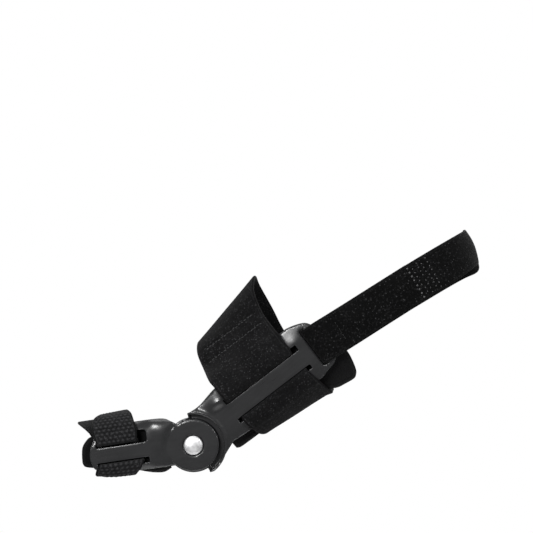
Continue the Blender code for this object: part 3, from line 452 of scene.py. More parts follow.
TOE_UPPER_EDGE = (
    # along, up
    (0.182, 0.86), (0.240, 0.96), (0.343, 1.00), (0.528, 0.99), (0.806, 0.97),
    (0.883, 0.88), (0.929, 0.71), (0.953, 0.54), (0.988, 0.31), (1.000, 0.06),
)
TOE_LOWER_EDGE = (
    # along, down
    (0.988, 0.31), (0.964, 0.60), (0.892, 0.84), (0.772, 0.94), (0.499, 0.99), (0.309, 1.00),
)


def mirrored(points):
    """The toe plate runs to -X of its own axes."""
    return [(-x, z) for x, z in points]


def toe_face(spots):
    reach = hinge_reach(spots)
    height = spots[:, 1]
    start = np.where(height > 0, TOE_BEND["from_above"], TOE_BEND["from_below"])
    bend = mix(TOE_BEND["least"], 1.0, ease((reach - start) / (TOE_BEND["to"] - start)))
    face = bend * flank(height, TOE_BAR, TOE_FLANK_RADIUS)
    face += swelling(spots, *KNUCKLE_SWELL)
    past = reach - NECK_RIDGE["reach"]
    spread = np.where(past < 0, NECK_RIDGE["to_disc"], NECK_RIDGE["to_toe"])
    ridge = NECK_RIDGE["height"] * np.exp(-(past / spread) ** 2)
    face -= ridge * ease((height - NECK_RIDGE["low"]) / NECK_RIDGE["rise"])
    return np.where(reach < DISC_RADIUS + NECK_STEP / 2, 0.0, face)


def toe_outer(spots, distance):
    reach = hinge_reach(spots)
    well = reach < RECESS_RADIUS - NECK_STEP / 2
    lip = rounding(reach - RECESS_RADIUS, RECESS_ROUND)
    return np.where(well, RECESS_DEPTH, toe_face(spots) + lip)


def toe_inner(spots, distance):
    reach = hinge_reach(spots)
    clear = LAP_RADIUS + 6 * CLEARANCE
    return PLATE_WALL + ease((reach - clear) / (2 * PLATE_WALL)) * toe_face(spots)


neck_low = -math.degrees(math.asin(TOE_DROP / (DISC_RADIUS + NECK_STEP)))
toe_rim = [tuple(point) for point in curve_through(
    edge_points(TOE_UPPER_EDGE, TOE_LENGTH, TOE_TOP)
    + edge_points(TOE_LOWER_EDGE, TOE_LENGTH, -TOE_DROP), 8)]
neck = [arc(DISC_RADIUS + out, neck_low, NECK_TOP, 30) for out in (NECK_STEP, 0.0)]
disc_free = arc(DISC_RADIUS, NECK_TOP, neck_low + 360, 80)
well_radii = (RECESS_RADIUS + RECESS_ROUND / 2, RECESS_RADIUS, RECESS_RADIUS - NECK_STEP,
              BORE_RADIUS)
wells = [arc(radius, 0, 360 - 360 / 48, 47) for radius in well_radii]
toe_slots = [mirrored(loop) for loop in (
    rounded_loop(((TOE_SLOT[0], TOE_BAR[1]), (TOE_SLOT[1], TOE_BAR[1]),
                  (TOE_SLOT[1] - TOE_SLOT_TAPER["middle"],
                   mix(TOE_BAR[1], TOE_UPPER_SLOT_TOP, 0.5)),
                  (TOE_SLOT[1] - TOE_SLOT_TAPER["top"], TOE_UPPER_SLOT_TOP),
                  (TOE_SLOT[0], TOE_UPPER_SLOT_TOP)), TOE_SLOT_CORNER),
    rounded_loop(((TOE_SLOT[0], TOE_LOWER_SLOT_LOW),
                  (TOE_SLOT[1] - TOE_SLOT_TAPER["low"], TOE_LOWER_SLOT_LOW),
                  (TOE_SLOT[1], TOE_BAR[0]), (TOE_SLOT[0], TOE_BAR[0])), SLOT_CORNER),
)]
toe_regions = [(mirrored(toe_rim + neck[0]), toe_slots),
               (mirrored(neck[0] + neck[1][::-1]), ()),
               (mirrored(neck[1] + disc_free[1:-1]), (wells[0],))]
toe_regions += [(outside, (inside,)) for outside, inside in zip(wells, wells[1:])]
toe_rims = [mirrored(rim) for rim in (toe_rim + disc_free[::-1], wells[3])]
toe_mesh = moulding(toe_regions, toe_rims, toe_outer, toe_inner, MOULD_ROUND, MOULD_PITCH,
                    slots=toe_slots)
finished("toe_plate_moulding", toe_mesh, *TOE, moulded_plastic("toe_moulding", TOE_LEAN),
         "plastic", "toe_plate")


# The rivet is bright drawn steel. It is set through the disc and the lap behind it: a low satin
# dome in the disc's recess outside, and a flat tail inside.

RIVET_HEAD = 5.35 * MM
RIVET_DOME = 1.8 * MM
RIVET_SHANK = 2.6 * MM
RIVET_RIM = 0.25 * MM
RIVET_TAIL = (4.8 * MM, 1.0 * MM)


def satin_steel():
    material, place, shader = new_material("satin_steel", Metallic=1.0)
    clouds, grain = place.noise(420.0, 4.0), place.noise(3200.0, 3.0)
    base = clouds.ramp(0.3, 0.7).tint((0.38, 0.38, 0.385), (0.54, 0.54, 0.545))
    feed(place, shader, Base_Color=base,
         Roughness=0.46 + clouds * 0.14, Normal=grain.bump(0.02 * MM))
    return material


def turned_rivet():
    under_head = RECESS_DEPTH - CLEARANCE
    tail = LAP_BACK + CLEARANCE
    wide, thick = RIVET_TAIL
    dome = [(RIVET_HEAD * math.cos(turn),
             under_head - RIVET_RIM - (RIVET_DOME - RIVET_RIM) * math.sin(turn))
            for turn in np.radians(np.linspace(86, 0, 14))]
    profile = [(0.0, under_head - RIVET_DOME), *dome, (RIVET_HEAD, under_head),
               (RIVET_SHANK, under_head), (RIVET_SHANK, tail), (wide, tail),
               (wide, tail + 0.8 * thick), (wide - 0.2 * thick, tail + thick), (0.0, tail + thick)]
    bm = bmesh.new()
    line = [bm.verts.new((radius, depth, 0.0)) for radius, depth in profile]
    edges = [bm.edges.new(pair) for pair in zip(line, line[1:])]
    bmesh.ops.spin(bm, geom=[*line, *edges], cent=(0, 0, 0), axis=(0, 1, 0),
                   angle=2 * math.pi, steps=72, use_merge=True)
    bmesh.ops.remove_doubles(bm, verts=bm.verts[:], dist=MERGE)
    return bm


finished("rivet_dome", turned_rivet(), *REAR, satin_steel(), "rivet_metal", "rivet", 35.0)


# The linings are thin foam faced with black knit and bound round their edge with a narrow tape.
# One is glued behind the rear plate and one behind the toe plate, with the straps between.

PAD_STANDOFF = 2.81 * MM
REAR_PAD_WALL = 3.0 * MM
REAR_PAD = {"start": 17.0 * MM, "length": 83.9 * MM, "top": 16.8 * MM, "drop": 26.0 * MM}
REAR_PAD_UPPER = (
    # along, up
    (0.000, 0.55), (0.030, 0.78), (0.120, 0.92), (0.500, 1.00), (0.840, 0.86), (0.930, 0.62),
    (0.980, 0.44), (1.000, 0.20),
)
REAR_PAD_LOWER = (
    # along, down
    (1.000, 0.40), (0.993, 0.62), (0.972, 0.88), (0.950, 0.985), (0.920, 1.03), (0.852, 1.00),
    (0.800, 0.965), (0.750, 0.88), (0.690, 0.82), (0.520, 0.77), (0.280, 0.71), (0.060, 0.69),
    (0.010, 0.64),
)
TOE_PAD_WALL = 2.5 * MM
TOE_STRAP_WALL = 1.6 * MM
TOE_PAD = {"start": 14.0 * MM, "length": 49.6 * MM, "top": 15.2 * MM, "drop": 13.7 * MM}
TOE_PAD_UPPER = (
    # along, up
    (0.000, 0.70), (0.080, 0.92), (0.330, 1.00), (0.640, 0.96), (0.860, 0.82), (0.930, 0.68),
    (0.980, 0.44), (1.000, 0.00),
)
TOE_PAD_LOWER = (
    # along, down
    (0.993, 0.20), (0.965, 0.30), (0.880, 0.385), (0.640, 0.58), (0.400, 0.74), (0.310, 0.85),
    (0.210, 0.96), (0.100, 1.00), (0.010, 0.86),
)
BINDING = {"width": 2.2 * MM, "proud": 0.18 * MM, "groove": 0.30 * MM, "groove_width": 0.4 * MM}
PAD_CROWN = {"height": 0.25 * MM, "run": 3.0 * MM}
PAD_SINK = 0.05 * MM


def bound_knit():
    """Black knit over foam: fine courses of loops, and a smoother tape round the edge."""
    material, place, shader = new_material("bound_knit", Specular_IOR_Level=0.06,
                                           Sheen_Weight=0.015, Sheen_Roughness=0.5)
    loops = place.cells(1300.0)
    clouds, threads = place.noise(120.0, 4.0), place.noise(2400.0, 2.0)
    tape = 1 - place.attribute("edge").ramp(1.9, 2.3)
    base = (clouds * 0.5 + threads * 0.5).tint((0.0007, 0.0007, 0.0008), (0.0036, 0.0036, 0.0038))
    feed(place, shader, Base_Color=(tape * 0.6).over(base, (0.0025, 0.0025, 0.0026)),
         Roughness=0.9 - tape * 0.22, Normal=(loops + threads * 0.6).bump(0.12 * MM))
    return material


def pad_relief(distance):
    """The binding stands a little proud of the foam, with a sewn groove inside it."""
    width = BINDING["width"]
    tape = BINDING["proud"] * np.exp(-((distance - 0.5 * width) / (0.45 * width)) ** 4)
    past_seam = distance - 1.1 * width
    groove = BINDING["groove"] * np.exp(-(past_seam / BINDING["groove_width"]) ** 2)
    crown = PAD_CROWN["height"] * ease((distance - 1.3 * width) / PAD_CROWN["run"])
    return tape - groove + crown - PAD_SINK


def rear_pad_face(spots):
    along = spots[:, 0]
    bend = np.maximum(rear_bend(along), 0.7)
    curve = bend * flank(spots[:, 1], REAR_BAR, REAR_FLANK_RADIUS)
    behind = ease((along - REAR_PAD["start"]) / (WRAP_SLOT[0] - REAR_PAD["start"]) * 1.4)
    stand = PLATE_WALL + mix(CLEARANCE, PAD_STANDOFF, behind)
    return np.maximum(rear_inner(spots, None) + 2.7 * CLEARANCE, curve + stand)


def toe_pad_face(spots):
    reach = hinge_reach(spots)
    curve = flank(spots[:, 1], TOE_BAR, TOE_FLANK_RADIUS)
    lap = np.where(reach < POCKET_RADIUS + PLATE_WALL, LAP_BACK + CLEARANCE, 0.0)
    return np.maximum(lap, curve + PLATE_WALL + TOE_STRAP_WALL + 2 * CLEARANCE)


def lining(name, node, size, upper, lower, turn, face, wall, place, body):
    table = (edge_points(upper, size["length"], size["top"], size["start"])
             + edge_points(lower, size["length"], -size["drop"], size["start"]))
    rim = turn([tuple(point) for point in curve_through(table, 6)])
    bm = moulding([(rim, ())], [rim], lambda spots, distance: face(spots) - pad_relief(distance),
                  lambda spots, distance: face(spots) + wall + pad_relief(distance),
                  0.45 * wall, 1.3 * MM, (0.1, 0.2, 0.3, 0.4, 0.4, 0.5))
    pad = finished(name, bm, place, body, knit, "lining", node, 70.0)


knit = bound_knit()
lining("midfoot_lining", "midfoot_pad", REAR_PAD, REAR_PAD_UPPER, REAR_PAD_LOWER, list,
       rear_pad_face, REAR_PAD_WALL, *REAR)
lining("toe_lining", "toe_pad", TOE_PAD, TOE_PAD_UPPER, TOE_PAD_LOWER, mirrored,
       toe_pad_face, TOE_PAD_WALL, *TOE)


# The midfoot band is one strip of black brushed-loop webbing with closed edges. It goes over the
# top, in at the upper slot, behind the bar, out at the lower slot and under, and its ends overlap
# on the far side. Two sewn seams run along it above the plate.

WRAP_WALL = 1.8 * MM
WRAP_WIDTH = 48.0 * MM
GIRTH_AT = (32.0 * MM, 84.0 * MM)
INSTEP = (42.3 * MM, 53.8 * MM)
SOLE = (21.4 * MM, 25.9 * MM)
NEAR_DEPTH = 8.0 * MM
FAR_DEPTH = (86.0 * MM, 70.0 * MM)
BAND_LAYER = WRAP_WALL + 2 * CLEARANCE
PLATE_CREASE = {"rows_past_edge": 0.25, "spread": 0.16, "depth": 0.35 * MM}
BAND_NAP = {"height": 0.10 * MM, "along": 5.2 * MM, "up": 7.1 * MM, "run": 19.0 * MM}
ROUND_MIDDLE = 0.45
SEAM_DIP = {"depth": 0.38 * MM, "width": 0.6 * MM, "run_out": 3.0 * MM}
SEAM_THREAD = 0.22 * MM
SEAM_ROWS = (2.5, 8.5)
WRAP_SEAMS = (
    # height above the hinge, from, to, pitch
    (31.0 * MM, 33.5 * MM, 74.0 * MM, 2.3 * MM),
    (37.8 * MM, 36.5 * MM, 72.0 * MM, 2.3 * MM),
)
FAR_ROWS_OVER = (
    # inwards, up, front edge, rear edge
    (0.860, 0.57, 0.08, 1.04),
    (0.760, 0.74, 0.11, 1.10),
    (0.570, 0.93, 0.13, 1.15),
    (0.370, 1.00, 0.125, 1.18),
    (0.210, 0.94, 0.055, 1.06),
    (0.105, 0.79, 0.010, 0.985),
)
FAR_ROWS_UNDER = (
    # inwards, up, front edge, rear edge
    (0.220, 0.010, 0.200, 1.08),
    (0.400, 0.000, 0.227, 1.10),
    (0.620, 0.000, 0.210, 1.10),
    (0.840, 0.020, 0.160, 1.07),
    (0.965, 0.100, 0.120, 1.04),
    (1.000, 0.260, 0.100, 1.03),
    (0.965, 0.420, 0.090, 1.03),
)
FAR_ROWS_END = (
    # inwards, up, front edge, rear edge
    (0.900, 0.54, 0.085, 1.04),
    (0.800, 0.72, 0.110, 1.09),
    (0.640, 0.90, 0.135, 1.14),
)
NEAR_EDGES = (
    # place, front edge, rear edge
    ("above_plate", 0.000, 0.98),
    ("plate_top", 0.010, 0.985),
    ("side_bar_top", 0.010, 0.98),
    ("slot_mouth_top", 0.020, 0.99),
    ("upper_slot_out", 0.010, 0.98),
    ("upper_slot_in", 0.010, 0.98),
    ("bar", 0.020, 0.98),
    ("lower_slot_in", 0.045, 1.00),
    ("lower_slot_out", 0.045, 1.00),
    ("side_bar_low", 0.050, 1.02),
    ("plate_low", 0.070, 1.035),
    ("over_pad", 0.090, 1.06),
    ("under_pad", 0.133, 1.075),
    ("sole_near", 0.170, 1.08),
)


def shaded(colour, share):
    return tuple(share * part for part in colour)


def brushed_loop(name, dark, light, fleck, fleck_share):
    """Brushed loop pile: a soft nap with stray lighter fibres, a flatter woven edge, a painted
    highlight line just inside the edge, and painted highlights on any raised dots.
    """
    material, place, shader = new_material(name, Specular_IOR_Level=0.04, Sheen_Weight=0.015,
                                           Sheen_Roughness=0.5)
    nap = place.noise(1500.0, 4.0, Roughness=0.7)
    tufts = place.noise(800.0, 3.0)
    clouds = place.noise(70.0, 5.0, Roughness=0.6)
    edge = place.attribute("edge")
    fibre = place.cells(1100.0)
    chance = place.node("TexWhiteNoise", None, {"Vector": place.cells(1100.0, 2)})
    flecks = (1 - fibre.ramp(0.15, 0.5)) * chance.ramp(1.0 - fleck_share, 1.0)
    mottle = tufts.ramp(0.52, 0.72)
    selvedge = 1 - edge.ramp(0.7, 1.3)
    # A thin lighter line just inside each edge: a painted highlight where light catches the strap's
    # edge.
    painted_edge_highlight = edge.ramp(0.85, 1.15) * (1 - edge.ramp(1.3, 1.7)) * nap.ramp(0.35, 0.6)
    base = (clouds.ramp(0.3, 0.7) * 0.4 + nap.ramp(0.3, 0.7) * 0.6).tint(dark, light)
    base = (flecks * 0.5 + mottle * 0.10).over(base, fleck)
    # The raised dots are painted lighter: a painted highlight on their tops.
    base = (place.attribute("painted_dot_highlight") * 0.7).over(base, shaded(light, 5.0))
    base = (selvedge * 0.6).over(base, shaded(dark, 0.55))
    feed(place, shader, Base_Color=(painted_edge_highlight * 0.5).over(base, shaded(light, 3.0)),
         Roughness=0.95 - selvedge * 0.2, Normal=(nap + tufts * 0.8).bump(0.22 * MM))
    return material


def girth_share(along):
    return (along - GIRTH_AT[0]) / (GIRTH_AT[1] - GIRTH_AT[0])


def far_point(along, inwards, up, lift=0.0):
    """A point of the band's middle on the hollow's round, lift outside it."""
    share = girth_share(along)
    outward = np.array([inwards - ROUND_MIDDLE, up - ROUND_MIDDLE])
    outward = outward / np.linalg.norm(outward) * lift
    return (along, mix(NEAR_DEPTH, mix(*FAR_DEPTH, share), inwards) + outward[0],
            mix(-mix(*SOLE, share), mix(*INSTEP, share), up) + outward[1])


def edge_height(table, along, length, height, start=0.0):
    points = sorted(edge_points(table, length, height, start))
    return float(np.interp(along, [p[0] for p in points], [p[1] for p in points]))


def rear_depth(along, height):
    return float(rear_face(np.array([[along, height]]))[0])


def rear_pad_depth(along, height):
    return float(rear_pad_face(np.array([[along, height]]))[0])


def near_points(along):
    """The band's middle on the near side, place by place, at one place along the plate."""
    half = WRAP_WALL / 2
    proud = half + 2.4 * CLEARANCE
    top = edge_height(REAR_UPPER_EDGE, along, REAR_LENGTH, REAR_TOP)
    low = edge_height(REAR_LOWER_EDGE, along, REAR_LENGTH, -REAR_DROP)
    pad = edge_height(REAR_PAD_LOWER, along, REAR_PAD["length"], -REAR_PAD["drop"],
                      REAR_PAD["start"])
    behind = PLATE_WALL + CLEARANCE + half
    upper = REAR_BAR[1] + half + 1.2 * CLEARANCE
    lower = mix(REAR_BAR[0], LOWER_SLOT_LOW, 0.5)
    side_top, side_low = mix(UPPER_SLOT_TOP, top, 0.5), mix(LOWER_SLOT_LOW, low, 0.5)
    over = mix(low, pad, 0.8)
    pad_rim = rear_pad_depth(along, pad)
    return {
        "above_plate": (rear_depth(along, top) + 1.2 * PLATE_WALL, top + 1.9 * PLATE_WALL),
        "plate_top": (rear_depth(along, top) - 0.6 * proud, top + 0.3 * PLATE_WALL),
        "side_bar_top": (rear_depth(along, side_top) - proud, side_top),
        "slot_mouth_top": (rear_depth(along, UPPER_SLOT_TOP) - 1.15 * proud, UPPER_SLOT_TOP + half),
        "upper_slot_out": (-1.1 * proud, upper + 0.25 * half),
        "upper_slot_in": (behind, upper - 0.1 * half),
        "bar": (behind, mix(*REAR_BAR, 0.5)),
        "lower_slot_in": (behind, lower),
        "lower_slot_out": (-0.8 * proud, lower),
        "side_bar_low": (rear_depth(along, side_low) - proud, side_low),
        "plate_low": (rear_depth(along, low) - proud, low - 0.1 * PLATE_WALL),
        "over_pad": (rear_pad_depth(along, over) - proud - half, over - half),
        "under_pad": (pad_rim + 0.2 * REAR_PAD_WALL, pad - proud),
        "sole_near": (pad_rim + 1.5 * REAR_PAD_WALL, pad - proud - 0.5 * half),
    }


def run_through(rows, stretches):
    """A strap's line through its rows, and each point's row number: smooth, or straight where
    the strap is held flat in a slot."""
    line, numbers, start = [], [], 0
    steps = 8
    for end, smooth in stretches:
        if smooth:
            piece = curve_through(rows[start:end + 1], steps)
        else:
            held = np.array(rows[start:end + 1])
            piece = np.vstack([mix(a, b, t) for a, b in zip(held, held[1:])
                               for t in np.arange(steps) / steps] + [held[-1]])
        line += list(piece[:-1])
        numbers += list(start + np.arange(len(piece) - 1) / steps)
        start = end
    return np.array([*line, rows[-1]]), np.array([*numbers, start])


def wrap_line(share):
    """One line along the band, at a share of its width from its front edge."""
    def along(front, rear):
        return WRAP_SLOT[0] + mix(front, rear, share) * WRAP_WIDTH

    rows = [far_point(along(f, r), a, u) for a, u, f, r in FAR_ROWS_OVER]
    for place, front, rear in NEAR_EDGES:
        rows.append((along(front, rear), *near_points(along(front, rear))[place]))
    rows += [far_point(along(f, r), a, u) for a, u, f, r in FAR_ROWS_UNDER]
    rows += [far_point(along(f, r), a, u, BAND_LAYER) for a, u, f, r in FAR_ROWS_END]
    places = [row[0] for row in NEAR_EDGES]
    held_from = len(FAR_ROWS_OVER) + places.index("side_bar_top")
    held_to = len(FAR_ROWS_OVER) + places.index("side_bar_low")
    return run_through(rows, ((held_from, True), (held_to, False), (len(rows) - 1, True)))


class Strap:
    """A strap of even thickness with rounded edges, laid through lines side by side."""

    def __init__(self, line, width, wall, pitch, relief):
        def spread(size):
            """Places from edge to edge: close together in the rounding, then at the pitch."""
            near = [part * wall for part in (0.0, 0.06, 0.2, 0.42, 0.7)]
            middle = np.linspace(near[-1], size - near[-1], round((size - 2 * near[-1]) / pitch) + 1)
            return np.array([*near[:-1], *middle, *[size - d for d in near[-2::-1]]])

        self.across = spread(width) / width
        lines, numbers = zip(*[line(share) for share in self.across])
        surface = np.stack(lines, axis=1)
        steps = np.linalg.norm(np.diff(surface, axis=0), axis=2).mean(axis=1)
        run = np.concatenate([[0.0], np.cumsum(steps)])
        self.length = run[-1]
        places = spread(self.length)
        self.rows = np.interp(places, run, numbers[0])
        surface = np.stack([[np.interp(places, run, surface[:, c, k]) for k in range(3)]
                            for c in range(surface.shape[1])]).transpose(2, 0, 1)
        for _ in range(2):
            surface[5:-5] = (surface[4:-6] + 2 * surface[5:-5] + surface[6:-4]) / 4
        normal = np.cross(np.gradient(surface, axis=0), np.gradient(surface, axis=1))
        normal /= np.linalg.norm(normal, axis=2, keepdims=True)
        if np.sum(normal * (surface - surface.mean(axis=(0, 1)))) < 0:
            normal = -normal
        edge = np.minimum(self.across, 1 - self.across)[None, :] * width
        end = np.minimum(places, self.length - places)[:, None]
        self.edge = np.minimum(edge, end)
        half = np.maximum(wall / 2 - rounding(self.edge, wall / 2), 0.12 * wall)
        # The relief gives how far the face lifts, and a mask of where raised dots get a painted
        # highlight.
        lift, self.painted_dot_highlight = relief(self, surface, places)
        self.normal = normal
        self.outer = surface + normal * (half + lift)[..., None]
        self.inner = surface - normal * half[..., None]

    def mesh(self):
        rows, columns = self.outer.shape[0] - 1, self.outer.shape[1] - 1
        bm = bmesh.new()
        bmesh.ops.create_grid(bm, x_segments=rows, y_segments=columns, size=0.5)
        edge = bm.verts.layers.float.new("edge")
        # This layer carries the mask of the painted highlight on raised dots.
        painted_dot_highlight = bm.verts.layers.float.new("painted_dot_highlight")
        grown = bmesh.ops.extrude_face_region(bm, geom=bm.faces[:])
        back = {item for item in grown["geom"] if isinstance(item, bmesh.types.BMVert)}
        for vert in bm.verts:
            row = round((vert.co.x + 0.5) * rows)
            column = round((vert.co.y + 0.5) * columns)
            vert[edge] = self.edge[row, column] / MM
            vert[painted_dot_highlight] = 0.0 if vert in back else self.painted_dot_highlight[row, column]
            vert.co = (self.inner if vert in back else self.outer)[row, column]
        return bm


def band_relief(strap, surface, places):
    """The sewn seams sink into the pile above the plate, the band creases over the plate's lower
    edge, and the nap swells softly beside them."""
    near = ease((45 * MM - surface[..., 1]) / (10 * MM)) * (strap.rows[:, None] < 12.0)
    along, up = surface[..., 0], surface[..., 2]
    waves = np.sin(along / BAND_NAP["along"] + 1.0)
    waves = waves * np.sin(up / BAND_NAP["up"] + places[:, None] / BAND_NAP["run"])
    swell = BAND_NAP["height"] * waves
    run_out = SEAM_DIP["run_out"]
    for height, start, end, _ in WRAP_SEAMS:
        seam = np.exp(-((up - height) / SEAM_DIP["width"]) ** 2)
        seam *= ease((along - start + run_out) / run_out)
        seam *= ease((end + run_out - along) / run_out)
        swell = swell - SEAM_DIP["depth"] * seam * near
    low = len(FAR_ROWS_OVER) + [row[0] for row in NEAR_EDGES].index("plate_low")
    past = strap.rows[:, None] - low - PLATE_CREASE["rows_past_edge"]
    swell = swell - PLATE_CREASE["depth"] * np.exp(-(past / PLATE_CREASE["spread"]) ** 2)
    return swell, np.zeros(surface.shape[:2])


def stitches(name, spots, normals, pitch, size):
    """A row of short grey stitches laid along a line on a strap's face, as one mesh."""
    spots, normals = np.array(spots), np.array(normals)
    run = np.concatenate([[0.0], np.cumsum(np.linalg.norm(np.diff(spots, axis=0), axis=1))])
    bm = bmesh.new()
    for at in np.arange(0.5 * pitch, run[-1], pitch):
        def on(values, along):
            return Vector([np.interp(along, run, values[:, k]) for k in range(3)])
        ahead = (on(spots, at + 0.3 * pitch) - on(spots, at - 0.3 * pitch)).normalized()
        out = on(normals, at).normalized()
        side = ahead.cross(out)
        turn = Matrix((ahead, side, ahead.cross(side) * -1)).transposed().to_4x4()
        scale = Matrix.Diagonal((0.36 * pitch, size, 0.7 * size, 1.0))
        bmesh.ops.create_icosphere(bm, subdivisions=2, radius=1.0,
                                   matrix=Matrix.Translation(on(spots, at)) @ turn @ scale)
    return finished(name, bm, *REAR, grey_thread, "velour")


def thread(name, colour):
    material, place, shader = new_material(name, Specular_IOR_Level=0.35)
    twist = place.node("TexWave", {"bands_direction": "DIAGONAL"},
                       {"Vector": place, "Scale": 1500.0})
    feed(place, shader, Base_Color=twist.tint(shaded(colour, 0.5), colour),
         Roughness=0.7 - twist * 0.1, Normal=twist.bump(0.04 * MM))
    return material


velour = brushed_loop("black_velour", (0.0008, 0.0008, 0.0009), (0.0052, 0.0052, 0.0054),
                      (0.046, 0.046, 0.048), 0.40)
band = Strap(wrap_line, WRAP_WIDTH, WRAP_WALL, 0.95 * MM, band_relief)
band_piece = finished("midfoot_band", band.mesh(), *REAR, velour, "velour", "midfoot_wrap", 60.0)
grey_thread = thread("grey_thread", (0.020, 0.020, 0.021))


def band_seam(number, height, start, end, pitch):
    """Follows the band's face at one height, and sews along it."""
    spots, normals = [], []
    shown = np.nonzero((band.rows > SEAM_ROWS[0]) & (band.rows < SEAM_ROWS[1]))[0]
    for column in range(band.outer.shape[1]):
        row = shown[np.argmin(abs(band.outer[shown, column, 2] - height))]
        if start < band.outer[row, column, 0] < end:
            spots.append(band.outer[row, column])
            normals.append(band.normal[row, column])
    return stitches(f"band_seam_{number}", spots, normals, pitch, SEAM_THREAD)


seams = [band_seam(number, *seam) for number, seam in enumerate(WRAP_SEAMS, 1)]


# The heel strap is a narrower strip of like webbing with a darker pile. Its tail lies inside, comes
# out through the cross slot, turns back over the plate's rear head and goes round to the band's far
# side. A patch of welded dots fixes the layers, and two short rows of stitches hold the fold.

HEEL_WALL = 2.0 * MM
HEEL_WIDTH = 23.0 * MM
HEEL_LEAN = 31.8
HEEL_REACH = 110.0 * MM
HEEL_HALF_WIDTH = 31.5 * MM
HEEL_TAIL = 78.0 * MM
HEEL_END_OVERLAP = 36.0 * MM
FAR_LOWERING = 5.0 * MM
HEEL_CURVE = (
    # reach, loop's half width, turn of the strap's width, bulge of its middle, upper edge drawn
    (0.23, 1.21, 122.5, 0.00, 0.00),
    (0.42, 1.10, 122.0, 0.00, 0.00),
    (0.62, 1.00, 121.0, 0.00, 0.00),
    (0.79, 0.87, 119.0, 0.01, 0.02),
    (0.905, 0.62, 115.0, 0.03, 0.05),
    (0.977, 0.29, 112.8, 0.06, 0.08),
    (0.99, 0.00, 112.2, 0.07, 0.09),
)
WELD_PATCH = {"reach": 68.0 * MM, "columns": 5, "column_pitch": 3.0 * MM, "dots": 8,
              "dot_pitch": 2.55 * MM, "radius": 0.52 * MM, "first": 1.15, "others": 0.7,
              "sink_run": 17.0 * MM, "sink": 0.12 * MM}
HEEL_NAP = {"height": 0.05 * MM, "run": 4.6 * MM, "across": 9.0}
HEEL_OUTSIDE_ROW = 8.5
FOLD_STITCHES = {"reaches": (11.0 * MM, 13.2 * MM), "pitch": 2.0 * MM, "thread": 0.2 * MM,
                 "column": 10, "inset": 9}


def strap_point(reach, depth, turn, share, bulge=0.0, drawn=0.0, lower=0.0):
    """A point of the heel strap: reach along its lean, depth, and share of its width."""
    lean = math.radians(HEEL_LEAN - REAR_LEAN)
    turn = math.radians(turn - REAR_LEAN)
    width = (share * (1.0 - drawn) - 0.5) * HEEL_WIDTH
    reach += bulge * HEEL_WIDTH * (1.0 - (2.0 * share - 1.0) ** 2)
    along = reach * math.cos(lean) + width * math.cos(turn) + lower * math.sin(lean)
    up = reach * math.sin(lean) + width * math.sin(turn) - lower * math.cos(lean)
    return CROSS_SLOT_AT + along, depth, CROSS_SLOT_MIDDLE + up


def band_outside(along, height):
    """Depth of the band's outer face on the far side, and how it slopes across the plate."""
    rows = [far_point(along, a, u) for a, u, f, r in FAR_ROWS_UNDER[2:]]
    rows += [far_point(along, a, u, BAND_LAYER) for a, u, f, r in FAR_ROWS_END]
    line = curve_through([row[1:] for row in rows], 4)
    depth = np.interp(height, line[:, 1], line[:, 0])
    ahead = np.interp(height + MM, line[:, 1], line[:, 0])
    return float(depth), float((ahead - depth) / MM)


def heel_line(share):
    half = HEEL_WALL / 2
    behind = PLATE_WALL + CLEARANCE + half
    middle = -HINGE.y

    def rim(reach, depth, turn=90.0 + REAR_LEAN):
        x, _, z = strap_point(reach, 0.0, turn, share)
        return (x, rear_depth(min(x, REAR_LENGTH), z) + depth, z)

    near = [(reach * HEEL_REACH, middle - part * HEEL_HALF_WIDTH, turn, share, bulge, drawn)
            for reach, part, turn, bulge, drawn in HEEL_CURVE]
    layer = HEEL_WALL + 2 * CLEARANCE
    tail = [strap_point(reach, depth + layer, *rest)
            for reach, depth, *rest in near if reach < HEEL_TAIL]
    outside = [strap_point(*point) for point in near]
    far = [strap_point(reach, 2 * middle - depth, *rest, FAR_LOWERING)
           for reach, depth, *rest in near[-2::-1] if reach > 0.4 * HEEL_REACH]
    on_band = []
    for part in (0.10, 0.35, 0.60, 0.80, 1.0):
        x, _, z = strap_point(-part * HEEL_END_OVERLAP, 0.0, 122.5, share, lower=FAR_LOWERING)
        depth, slope = band_outside(x, z)
        lift = (WRAP_WALL / 2 + 3.2 * CLEARANCE + half) * math.hypot(1.0, slope)
        on_band.append((x, depth + lift, z))
    loose = strap_point(0.12 * HEEL_REACH, on_band[0][1] - half, 122.2, share, lower=FAR_LOWERING)
    rear = REAR_LENGTH - CROSS_SLOT_AT
    rows = tail[::-1] + [
        rim(rear + 2 * half, behind), rim(0.55 * rear, behind), rim(0.0, behind),
        rim(0.0, -half - 2 * CLEARANCE), rim(0.55 * rear, -half - 1.6 * CLEARANCE),
        rim(rear + 2 * half, -half - 1.5 * CLEARANCE, 124.5),
    ] + outside + far + [loose] + on_band
    inside = len(tail) + 1
    return run_through(rows, ((inside, True), (inside + 3, False), (len(rows) - 1, True)))


def heel_relief(strap, surface, places):
    """The pile dips a little between the welded dots."""
    reach = surface[..., 0] - CROSS_SLOT_AT
    patch = ease((reach - WELD_PATCH["reach"] + 1.5 * MM) / (1.5 * MM))
    patch *= ease((WELD_PATCH["reach"] + WELD_PATCH["sink_run"] - reach) / (2 * MM))
    patch *= ease((8 * MM - surface[..., 1]) / (3 * MM))
    patch *= strap.rows[:, None] > HEEL_OUTSIDE_ROW
    swell = HEEL_NAP["height"] * np.sin(places[:, None] / HEEL_NAP["run"])
    swell = swell * np.sin(strap.across * HEEL_NAP["across"])[None, :]
    return swell - WELD_PATCH["sink"] * patch, np.zeros(surface.shape[:2])


